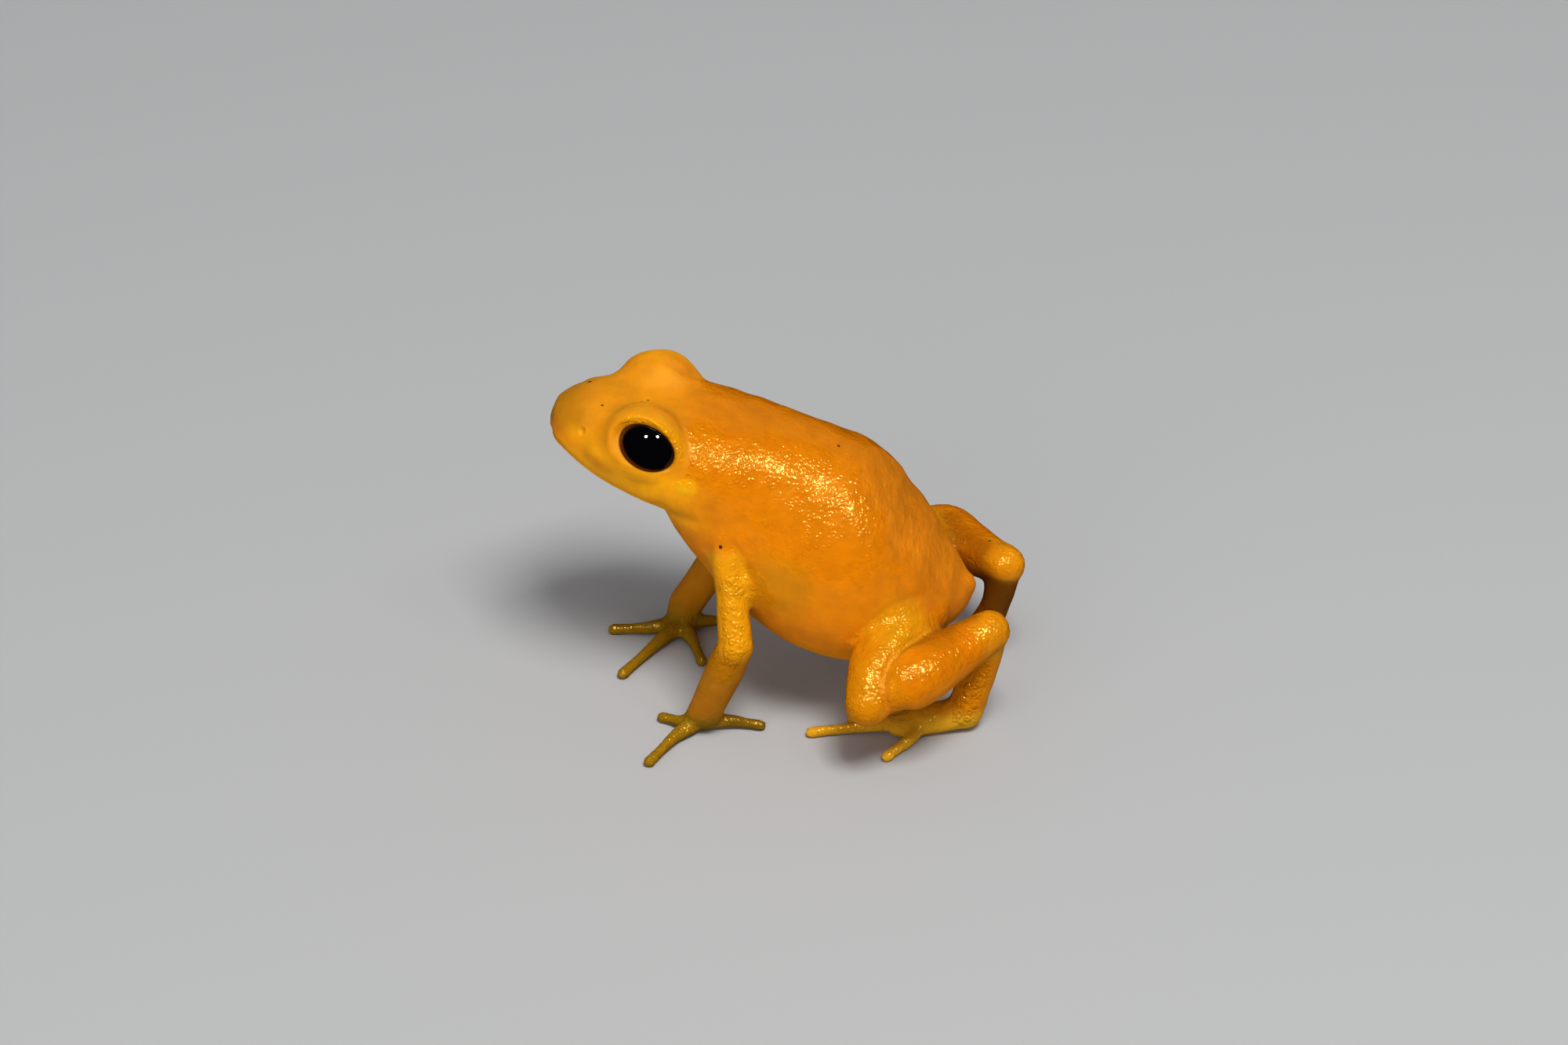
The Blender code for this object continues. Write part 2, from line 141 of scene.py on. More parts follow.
def along_segments(points: Array, path: Array) -> tuple[Array, Array]:
    """How far each point is from a bent line, and where its nearest place on it is.

    Args:
        points: The points, one a row.
        path: The line's corners, one a row.

    Returns:
        The least distance over all segments, each found by dropping the point on the segment's line and
        holding it between the ends, and the place there as a share of the whole line, 0 to 1.
    """
    a, b = path[:-1], path[1:]
    step = b - a
    share = np.einsum("ijk,jk->ij", points[:, None] - a[None], step) / np.maximum((step**2).sum(1), 1e-12)
    share = np.clip(share, 0.0, 1.0)
    gap = np.linalg.norm(points[:, None] - (a[None] + share[..., None] * step[None]), axis=2)
    best = gap.argmin(axis=1)
    rows = np.arange(len(points))
    return gap[rows, best], (best + share[rows, best]) / len(step)


def lattice_value(cells: Array, seed: float) -> Array:
    """A number from 0 to 1 for each lattice cell that looks random: the broken part of a large sine."""
    mixed = np.sin(cells @ np.array([127.1, 311.7, 74.7]) + seed * 17.13) * 43758.5453
    return mixed - np.floor(mixed)


def soft_noise(points: Array, size: float, seed: float) -> Array:
    """Smooth noise from -1 to 1: the eight lattice values round a point, blended by a cubic ease."""
    place = points / size
    cell = np.floor(place)
    share = place - cell
    share = share * share * (3 - 2 * share)
    total = np.zeros(len(points))
    for corner in itertools.product((0, 1), repeat=3):
        part = np.prod(np.where(np.array(corner) == 1, share, 1 - share), axis=1)
        total += part * lattice_value(cell + np.array(corner), seed)
    return total * 2 - 1


@dataclass
class Shell:
    """A closed surface in millimetres: its points, its four-cornered faces and its three-cornered ones."""

    points: Array
    quads: Array
    triangles: Array

    @staticmethod
    def loft(rings: Array, first: Array, last: Array) -> Shell:
        """A shell through rings of points, each end closed by a fan to its pole.

        Args:
            rings: The points, by ring and then by place round it.
            first: The pole before the first ring.
            last: The pole after the last ring.

        Returns:
            The shell, a grid of faces closed round each ring.
        """
        count, sides = rings.shape[:2]
        index = np.arange(count * sides).reshape(count, sides)
        ahead = np.roll(index, -1, axis=1)
        quads = np.stack([index[:-1], ahead[:-1], ahead[1:], index[1:]], axis=-1).reshape(-1, 4)
        start = np.stack([np.full(sides, count * sides), ahead[0], index[0]], axis=-1)
        end = np.stack([np.full(sides, count * sides + 1), index[-1], ahead[-1]], axis=-1)
        return Shell(np.vstack([rings.reshape(-1, 3), first, last]), quads, np.vstack([start, end]))

    @staticmethod
    def joined(shells: list[Shell]) -> Shell:
        """All shells as one, each one's face numbers moved on past the points before it."""
        starts = np.cumsum([0] + [len(s.points) for s in shells[:-1]])
        return Shell(
            np.vstack([s.points for s in shells]),
            np.vstack([s.quads + n for s, n in zip(shells, starts)]),
            np.vstack([s.triangles + n for s, n in zip(shells, starts)]),
        )

    def mesh(self, name: str) -> bpy.types.Mesh:
        """A Blender mesh of the shell."""
        made = bpy.data.meshes.new(name)
        faces = self.quads.tolist() + self.triangles.tolist()
        made.from_pydata(self.points.tolist(), [], faces)
        return made


def ball(centre: Array, radii: Array, rings: int = 24, sides: int = 40) -> Shell:
    """An ellipsoid: the polar angle runs over the rings, the angle round the axis over the sides."""
    polar = np.linspace(0, np.pi, rings + 1)[1:-1, None]
    turn = np.linspace(0, 2 * np.pi, sides, endpoint=False)[None, :]
    across = np.sin(polar)
    grid = np.stack([across * np.cos(turn), across * np.sin(turn), np.cos(polar) + 0 * turn], -1)
    radii, centre = np.asarray(radii, float), np.asarray(centre, float)
    return Shell.loft(grid * radii + centre, centre + [0, 0, radii[2]], centre - [0, 0, radii[2]])


@dataclass
class Trunk:
    """Head and torso from the snout's tip to the vent.

    Each row is a section across the body's axis: x and z of its widest level, half width, height above
    that level, depth below it, and how square it is above and below.
    """

    rows: tuple[tuple[float, ...], ...] = (
        (-12.95, 16.02, 0.85, 0.85, 0.52, 2.0, 2.0),
        (-12.65, 16.00, 1.50, 1.42, 0.86, 2.0, 2.0),
        (-12.00, 15.90, 2.12, 1.92, 1.16, 2.1, 2.1),
        (-10.90, 15.70, 2.90, 2.25, 1.64, 2.6, 2.2),
        (-9.30, 15.35, 3.75, 2.52, 2.00, 2.9, 2.3),
        (-7.50, 15.00, 4.28, 2.60, 2.30, 2.8, 2.4),
        (-5.80, 14.35, 4.30, 3.40, 2.48, 2.6, 2.3),
        (-4.10, 13.10, 4.34, 4.64, 3.48, 2.4, 2.2),
        (-2.20, 11.42, 4.80, 5.80, 4.12, 2.2, 2.1),
        (-0.30, 9.86, 5.45, 6.36, 4.60, 2.2, 2.1),
        (1.70, 8.62, 5.85, 6.13, 4.80, 2.2, 2.1),
        (3.70, 7.76, 5.70, 5.46, 4.64, 2.2, 2.1),
        (5.50, 7.28, 4.90, 4.32, 4.07, 2.2, 2.1),
        (7.10, 6.95, 3.60, 3.22, 3.00, 2.1, 2.0),
        (8.40, 6.90, 2.10, 2.00, 1.85, 2.0, 2.0),
        (9.15, 6.95, 1.00, 0.95, 0.90, 2.0, 2.0),
    )
    steps: int = 6
    sides: int = 96

    @staticmethod
    def axes(rows: Array) -> tuple[Array, Array]:
        """Unit vectors along the trunk's axis and up from it, both in the midline plane."""
        along = unit(np.gradient(np.column_stack([rows[:, 0], 0 * rows[:, 0], rows[:, 1]]), axis=0))
        return along, np.column_stack([-along[:, 2], 0 * along[:, 0], along[:, 0]])

    def surface(self, rows: Array, angle: Array) -> Array:
        """Points on the trunk's skin.

        Args:
            rows: Sections, as in the field rows.
            angle: The angle round each section in radians, 0 at the animal's right, a quarter at its back.

        Returns:
            The points, by row and angle: cosine and sine of the angle, each to the power of two over the
            squareness with its sign kept, times the half width and the height or depth.
        """
        _, up = self.axes(rows)
        c, s = np.cos(angle), np.sin(angle)
        square = np.where(s >= 0, rows[:, 5:6], rows[:, 6:7])
        height = np.where(s >= 0, rows[:, 3:4], rows[:, 4:5])
        across = rows[:, 2:3] * np.sign(c) * np.abs(c) ** (2 / square)
        raised = height * np.sign(s) * np.abs(s) ** (2 / square)
        centre = np.column_stack([rows[:, 0], 0 * rows[:, 0], rows[:, 1]])
        out = across[..., None] * np.array([0.0, 1.0, 0.0])
        return centre[:, None] + out + raised[..., None] * up[:, None]

    def shell(self) -> Shell:
        """The whole trunk as one closed loft through its smoothed sections."""
        rows = smooth_rows(self.rows, self.steps)
        angle = np.linspace(0, 2 * np.pi, self.sides, endpoint=False)[None, :]
        rings = self.surface(rows, angle)
        along, _ = self.axes(rows)
        return Shell.loft(rings, rings[0].mean(0) - along[0] * 0.22, rings[-1].mean(0) + along[-1] * 0.45)


@dataclass
class Limb:
    """A tapering limb with rounded ends: each knot is a point, a half width and a half depth."""

    knots: list[tuple[Array, float, float]]
    across: Array
    steps: int = 8
    sides: int = 32

    def shell(self) -> Shell:
        """An oval carried through the knots smoothly, wide along the direction across, with domed ends."""
        rows = smooth_rows([[*point, *size] for point, *size in self.knots], self.steps)
        along = unit(np.gradient(rows[:, :3], axis=0))
        across = np.asarray(self.across, float)
        side = unit(across - (along @ across)[:, None] * along)
        depth = np.cross(along, side)
        size = rows[:, 3:5]
        bend = np.radians([80, 65, 50, 35, 20])[:, None]
        start = rows[0, :3] - along[0] * size[0].mean() * np.sin(bend)
        end = rows[-1, :3] + along[-1] * size[-1].mean() * np.sin(bend[::-1])
        centres = np.vstack([start, rows[:, :3], end])
        sizes = np.vstack([size[0] * np.cos(bend), size, size[-1] * np.cos(bend[::-1])])
        pick = np.r_[[0] * len(bend), np.arange(len(rows)), [len(rows) - 1] * len(bend)]
        turn = np.linspace(0, 2 * np.pi, self.sides, endpoint=False)
        rings = (centres[:, None]
                 + (sizes[:, :1] * np.cos(turn))[..., None] * side[pick][:, None]
                 + (sizes[:, 1:] * np.sin(turn))[..., None] * depth[pick][:, None])
        first = rows[0, :3] - along[0] * size[0].mean()
        last = rows[-1, :3] + along[-1] * size[-1].mean()
        return Shell.loft(rings, first, last)


def digits(root: Array, ends: tuple[tuple[Place, Place], ...]) -> list[Shell]:
    """Fingers or toes from one root, each a little swollen at its tip.

    Args:
        root: Where they all start.
        ends: Each one's middle and tip.

    Returns:
        One limb for each, thinnest just before its tip.
    """
    return [
        Limb([
            (root, 0.56, 0.46),
            (between(root, middle, 0.55), 0.46, 0.4),
            (middle, 0.34, 0.34),
            (between(middle, tip, 0.55), 0.27, 0.29),
            (tip, 0.33, 0.29),
        ], np.cross(np.asarray(tip) - root, (0, 0, 1.0)), 6, 24).shell()
        for middle, tip in ends
    ]


@dataclass
class Arm:
    """Upper arm, forearm and hand of one side, with the joints' y counted outwards, the hand's as it is."""

    side: Side
    elbow: Place
    wrist: Place
    palm: Place
    fingers: tuple[tuple[Place, Place], ...]
    shoulder: Place = (-3.4, 3.7, 12.0)

    def joints(self) -> tuple[Array, ...]:
        """Shoulder, elbow and wrist on their own side."""
        return tuple(map(self.side.place, (self.shoulder, self.elbow, self.wrist)))

    def shells(self) -> list[Shell]:
        """The arm's limbs and digits, overlapping so that one skin can be drawn over them."""
        shoulder, elbow, wrist = self.joints()
        across = np.array([1.0, 0.0, 0.0])
        upper = Limb([
            (shoulder, 1.02, 1.0),
            (between(shoulder, elbow, 0.5), 0.86, 0.86),
            (elbow, 0.93, 0.92),
        ], across)
        fore = Limb([
            (elbow, 0.95, 0.92),
            (between(elbow, wrist, 0.35), 1.02, 0.98),
            (between(elbow, wrist, 0.75), 0.95, 0.85),
            (wrist, 0.95, 0.65),
        ], across)
        hand = Limb([
            (between(wrist, elbow, 0.1), 0.95, 0.65),
            (wrist, 0.95, 0.65),
            (self.palm, 0.85, 0.55),
        ], across)
        return [upper.shell(), fore.shell(), hand.shell(), *digits(np.array(self.palm), self.fingers)]


@dataclass
class Leg:
    """Thigh, shank, tarsus and foot of one side, with the joints' y counted outwards."""

    side: Side
    knee: Place
    heel: Place
    lift: Place
    hip: Place = (7.0, 2.1, 6.8)
    ankle: Place = (9.4, 3.0, 1.0)
    sole: tuple[Place, Place] = ((7.2, 3.5, 0.55), (6.0, 4.0, 0.42))
    toes: tuple[tuple[Place, Place], ...] = (
        ((6.6, 2.6, 0.36), (5.9, 1.9, 0.24)),
        ((5.9, 3.0, 0.36), (4.7, 2.3, 0.24)),
        ((5.2, 3.7, 0.36), (3.4, 3.5, 0.24)),
        ((4.2, 4.2, 0.38), (1.35, 4.9, 0.24)),
        ((6.6, 5.2, 0.38), (5.6, 6.6, 0.24)),
    )

    def joints(self) -> tuple[Array, ...]:
        """Hip, knee, heel and ankle on their own side."""
        return tuple(map(self.side.place, (self.hip, self.knee, self.heel, self.ankle)))

    def shells(self) -> list[Shell]:
        """The leg's limbs and digits, overlapping so that one skin can be drawn over them."""
        hip, knee, heel, ankle = self.joints()
        fold = np.cross(hip - knee, heel - knee)
        bulge, bow = np.array([-0.35, 0.0, 0.6]), np.array([0.25, 0.0, 0.0])
        lift = self.side.place(self.lift)
        thigh = Limb([
            (hip, 1.35, 1.45),
            (between(hip, knee, 0.35) + bulge * 0.9, 1.55, 1.65),
            (between(hip, knee, 0.7) + bulge, 1.45, 1.55),
            (knee, 1.18, 1.25),
        ], fold)
        shank = Limb([
            (between(knee, heel, 0.20) + lift * 0.55, 1.15, 1.22),
            (between(knee, heel, 0.29) + lift * 0.65, 1.52, 1.6),
            (between(knee, heel, 0.45) + lift * 0.55, 1.62, 1.7),
            (between(knee, heel, 0.75) + lift * 0.1, 1.25, 1.38),
            (heel, 1.12, 1.12),
        ], fold)
        tarsus = Limb([
            (heel, 1.0, 1.0),
            (between(heel, ankle, 0.45) + bow, 0.78, 0.82),
            (between(heel, ankle, 0.75) + bow * 0.2, 0.88, 0.98),
            (ankle, 0.95, 1.0),
        ], fold)
        root, ball_of_foot = self.side.place(self.sole)
        foot = Limb([
            (between(ankle, heel, 0.1), 0.95, 0.9),
            (ankle, 0.95, 0.85),
            (root, 1.0, 0.7),
            (ball_of_foot, 0.8, 0.5),
        ], np.array([0.0, 1.0, 0.0]))
        ends = tuple(map(self.side.place, self.toes))
        return [thigh.shell(), shank.shell(), tarsus.shell(), foot.shell(), *digits(root, ends)]


@dataclass(frozen=True)
class EyeFrame:
    """Where an eye sits: its centre, the way it looks, and the opening's long direction, with y outwards.

    The eyeball is a spheroid, round across the line of sight and a little shorter along it.
    """

    centre: Place = (-7.5, 2.75, 16.4)
    looks: Place = (0.02, 0.92, 0.49)
    slit: Place = (1.0, 0.15, -0.52)
    radius: float = 1.8
    depth: float = 1.72
    half_long: float = 1.54
    half_tall: float = 1.12

    def axes(self) -> tuple[Array, Array, Array]:
        """Unit vectors along the opening, up across it, and out of the eye."""
        looks = unit(np.array(self.looks))
        slit = unit(np.array(self.slit) - looks * (np.array(self.slit) @ looks))
        tall = np.cross(looks, slit)
        return slit, tall * np.sign(tall[2]), looks

    def height(self, r: Array) -> Array:
        """How far out the eyeball's front is.

        Args:
            r: The distance from the line of sight.

        Returns:
            The depth times the root of one less the squared share of the radius.
        """
        return self.depth * np.sqrt(np.maximum(1 - (r / self.radius) ** 2, 0.0))


@dataclass
class Eye:
    """One eyeball, black and clear, with a thin red-brown ring where the lids meet it."""

    side: Side
    frame: EyeFrame = field(default_factory=EyeFrame)
    rings: int = 56
    turns: int = 96
    ring_middle: Pair = (0.10, 0.12)

    def build(self) -> bpy.types.Object:
        """The eyeball: a spheroid about the line of sight.

        Returns:
            The object. The polar angle runs over the rings and the angle round the line of sight over the
            turns. The attribute ring holds the distance from the ring's middle, a little above and behind
            the line of sight, as a share of the opening's halves.
        """
        slit, tall, looks = self.frame.axes()
        polar = np.linspace(0, np.pi, self.rings + 1)[:, None]
        turn = np.linspace(0, 2 * np.pi, self.turns, endpoint=False)[None, :]
        u = self.frame.radius * np.sin(polar) * np.cos(turn)
        v = self.frame.radius * np.sin(polar) * np.sin(turn)
        w = self.frame.depth * np.cos(polar) + 0 * turn
        grid = np.array(self.frame.centre) + u[..., None] * slit + v[..., None] * tall
        grid = self.side.place(grid + w[..., None] * looks)
        shell = Shell.loft(grid[1:-1], grid[0, 0], grid[-1, 0])
        obj = new_piece(f"eyeball_{self.side.value}", shell.mesh("eyeball"))
        shift = self.side.place(vertex_places(obj.data)) - np.array(self.frame.centre)
        u, v, w = shift @ slit, shift @ tall, shift @ looks
        a, b = self.ring_middle
        ring = np.hypot((u - a) / self.frame.half_long, (v - b) / self.frame.half_tall)
        write_attribute(obj.data, "ring", np.where(w > 0, ring, 2.0))
        place_in_frame(obj)
        return obj


def vertex_places(mesh: bpy.types.Mesh) -> Array:
    """The mesh's points, one a row."""
    flat = np.empty(len(mesh.vertices) * 3)
    mesh.vertices.foreach_get("co", flat)
    return flat.reshape(-1, 3)


def set_places(mesh: bpy.types.Mesh, points: Array) -> None:
    """Moves the mesh's points."""
    mesh.vertices.foreach_set("co", points.ravel())
    mesh.update()


def vertex_normals(mesh: bpy.types.Mesh) -> Array:
    """The direction out of the mesh at each point."""
    mesh.update()
    flat = np.empty(len(mesh.vertices) * 3, np.float32)
    mesh.vertex_normals.foreach_get("vector", flat)
    return flat.reshape(-1, 3).astype(float)


def write_attribute(mesh: bpy.types.Mesh, name: str, values: Array) -> None:
    """Stores one number, or a colour of three shares, for each point under that name."""
    if values.ndim == 1:
        kind, part = "FLOAT", "value"
    else:
        kind, part = "FLOAT_COLOR", "color"
        values = np.column_stack([values, np.ones(len(values))])
    made = mesh.attributes.new(name, kind, "POINT")
    made.data.foreach_set(part, values.astype(np.float32).ravel())


def new_piece(name: str, mesh: bpy.types.Mesh) -> bpy.types.Object:
    """An object for the mesh, smooth, facing outwards and linked to the scene."""
    shell = bmesh.new()
    shell.from_mesh(mesh)
    if shell.calc_volume(signed=True) < 0:
        bmesh.ops.reverse_faces(shell, faces=shell.faces)
    shell.to_mesh(mesh)
    shell.free()
    mesh.shade_smooth()
    return linked(name, mesh)


def linked(name: str, data: bpy.types.ID) -> bpy.types.Object:
    """A new object with that data, linked to the scene."""
    obj = bpy.data.objects.new(name, data)
    bpy.context.scene.collection.objects.link(obj)
    return obj


def place_in_frame(obj: bpy.types.Object) -> None:
    """Shifts a finished mesh onto the shared frame and turns its millimetres into metres."""
    set_places(obj.data, (vertex_places(obj.data) - CENTRE) * MM)


@dataclass(frozen=True)
class Fillet:
    """A place, with y outwards, where forms run into each other softly: creases within reach are filled."""

    centre: Place
    reach: float
    strength: float

    def weight(self, points: Array, side: Side) -> Array:
        """The strength at each point, falling to 0 between about half the reach and the reach."""
        far = np.linalg.norm(points - side.place(self.centre), axis=1)
        return self.strength * ramp(self.reach, self.reach * 0.55, far)


@dataclass
class Lids:
    """Upper and lower lid of one eye: the skin parts over the eyeball, with a thick rim and a band above.

    The rim rises by the lip over lip_width, and fall is the slope outside it. The band is the upper lid's
    and tuck is how deep the skin lies under the eyeball.
    """

    side: Side
    frame: EyeFrame = field(default_factory=EyeFrame)
    lip: float = 0.11
    lip_width: float = 0.07
    fall: float = 0.35
    band: float = 0.08
    band_middle: float = 0.42
    band_width: float = 0.24
    tuck: float = 0.16

    def local(self, points: Array) -> tuple[Array, Array, Array]:
        """Each point's place along the opening, up across it and out of the eye."""
        shift = self.side.place(points) - np.array(self.frame.centre)
        return tuple(shift @ axis for axis in self.frame.axes())

    def gap(self, points: Array) -> Array:
        """How far each point lies outside the opening, in the opening's plane; less than 0 inside it."""
        u, v, _ = self.local(points)
        r = np.hypot(u, v)
        rho = np.hypot(u / self.frame.half_long, v / self.frame.half_tall)
        return r * (1 - 1 / np.maximum(rho, 1e-6))

    def near(self, points: Array, within: float) -> Array:
        """Which points lie on the eye's side of the head and within that distance of the opening."""
        _, _, w = self.local(points)
        return (w > 0.0) & (self.gap(points) < within)

    def upper(self, points: Array) -> Array:
        """1 over the eye and 0 under it."""
        _, v, _ = self.local(points)
        return ramp(-0.4, 0.9, v / self.frame.half_tall)

    def shaped(self, points: Array) -> Array:
        """The points with the lids drawn into the skin.

        Args:
            points: The skin's points.

        Returns:
            Points moved along the line of sight. Inside the opening the skin drops under the eyeball. At
            its edge it has the eyeball's own height. Outward it rises by the lip times one less an
            exponential of the distance, then falls in a straight slope and blends into the skin's own
            height: soon where that lies above the slope, later at the front corner, and over most of a
            millimetre where it lies below. The upper lid's band, a bell of the distance, counts as part of
            the skin's own height.
        """
        points = points.copy()
        pick = np.flatnonzero(self.near(points, 2.2))
        u, v, w = (part[pick] for part in self.local(points))
        d = self.gap(points)[pick]
        upper = self.upper(points[pick])
        r = np.hypot(u, v)
        rho = np.hypot(u / self.frame.half_long, v / self.frame.half_tall)
        margin = self.frame.height(r / np.maximum(rho, 1e-6))
        out = np.maximum(d, 0.0)
        lip = self.lip * (0.2 + 1.3 * upper)
        slope = margin + lip * (1 - np.exp(-out / self.lip_width)) - self.fall * out
        body = w + self.band * upper * hump(d, self.band_middle, self.band_width)
        corner = ramp(0.2, -0.9, u / self.frame.half_long)
        share = np.where(body > slope, ramp(0.0, 0.25 + 0.5 * corner, d), ramp(0.05, 0.9, d))
        outside = slope * (1 - share) + body * share
        target = np.where(d < 0, self.frame.height(r) - self.tuck * ramp(0.0, -0.06, d), outside)
        weight = 1 - ramp(0.9, 1.3, d) * (1 - ramp(0.0, 0.7, w))
        _, _, looks = self.frame.axes()
        points[pick] += self.side.place(((target - w) * weight)[:, None] * looks)
        return points


@dataclass(frozen=True)
class Pit:
    """A round or oval mark on the skin: a hollow or a rise with a ring round it."""

    place: Place
    radii: Place
    rise: float
    ring: float

    def share(self, points: Array, side: Side) -> Array:
        """Each point's distance from the middle as a share of the radii."""
        return np.linalg.norm((side.place(points) - np.array(self.place)) / np.array(self.radii), axis=1)

    def relief(self, points: Array, side: Side) -> Array:
        """The rise times a flat-topped bell of the share, plus the ring times a bell round its edge."""
        q = self.share(points, side)
        return self.rise * np.exp(-(q**3)) + self.ring * hump(q, 1.25, 0.35)


@dataclass(frozen=True)
class Fold:
    """A soft groove along a bent line on the skin, with a low lip on each side of it."""

    path: tuple[Place, ...]
    width: float
    depth: float
    lip: float = 0.0
    only: Side | None = None

    def curve(self) -> Array:
        """The smoothed line."""
        return smooth_rows(np.array(self.path, float), 6)

    def relief(self, points: Array, side: Side) -> Array:
        """How far the skin stands out or in.

        Args:
            points: The skin's points.
            side: The side that the line is put on.

        Returns:
            The lip times a bell beside the line less the depth times a bell on it, both fading out at the
            line's ends.
        """
        height = np.zeros(len(points))
        if self.only not in (None, side):
            return height
        where = side.place(points)
        line = self.curve()
        reach = self.width * 4
        low, high = line.min(axis=0) - reach, line.max(axis=0) + reach
        pick = np.flatnonzero(np.all((where > low) & (where < high), axis=1))
        if len(pick):
            far, share = along_segments(where[pick], line)
            fade = ramp(0.0, 0.18, share) * ramp(1.0, 0.82, share)
            height[pick] = fade * (self.lip * hump(far, self.width * 1.9, self.width)
                                   - self.depth * hump(far, 0.0, self.width))
        return height


@dataclass
class Mouth:
    """The mouth line: from one corner under the eye, round the snout, to the other corner."""

    trunk: Trunk
    last_row: float = 6.4
    front_angle: float = 18.0
    back_angle: float = 32.0
    lip: float = 0.035
    groove: float = 0.075

    def line(self) -> Array:
        """The line's places on the trunk's own surface, below its widest level by an angle that grows."""
        rows = smooth_rows(self.trunk.rows, 2)
        share = np.linspace(0, 1, 25)
        level = 0.4 + share * (2 * self.last_row - 0.4)
        here = np.column_stack([np.interp(level, np.arange(len(rows)), column) for column in rows.T])
        angle = np.radians(180 + self.front_angle + (self.back_angle - self.front_angle) * share)
        near = self.trunk.surface(here, angle[:, None])[::-1, 0]
        front = np.array([[rows[0, 0] - 0.12, y, rows[0, 1] - 0.42] for y in (-0.45, 0.45)])
        return np.vstack([near, front, near[::-1] * np.array([1, -1, 1])])

    def relief(self, points: Array) -> Array:
        """A narrow groove along the line with a full lip above and below it, fading at the corners."""
        line = self.line()
        pick = np.flatnonzero(points[:, 0] < line[:, 0].max() + 1.0)
        height = np.zeros(len(points))
        far, share = along_segments(points[pick], line)
        fade = ramp(0.0, 0.05, share) * ramp(1.0, 0.95, share)
        height[pick] = fade * (self.lip * hump(far, 0.24, 0.13) - self.groove * hump(far, 0.0, 0.075))
        return height


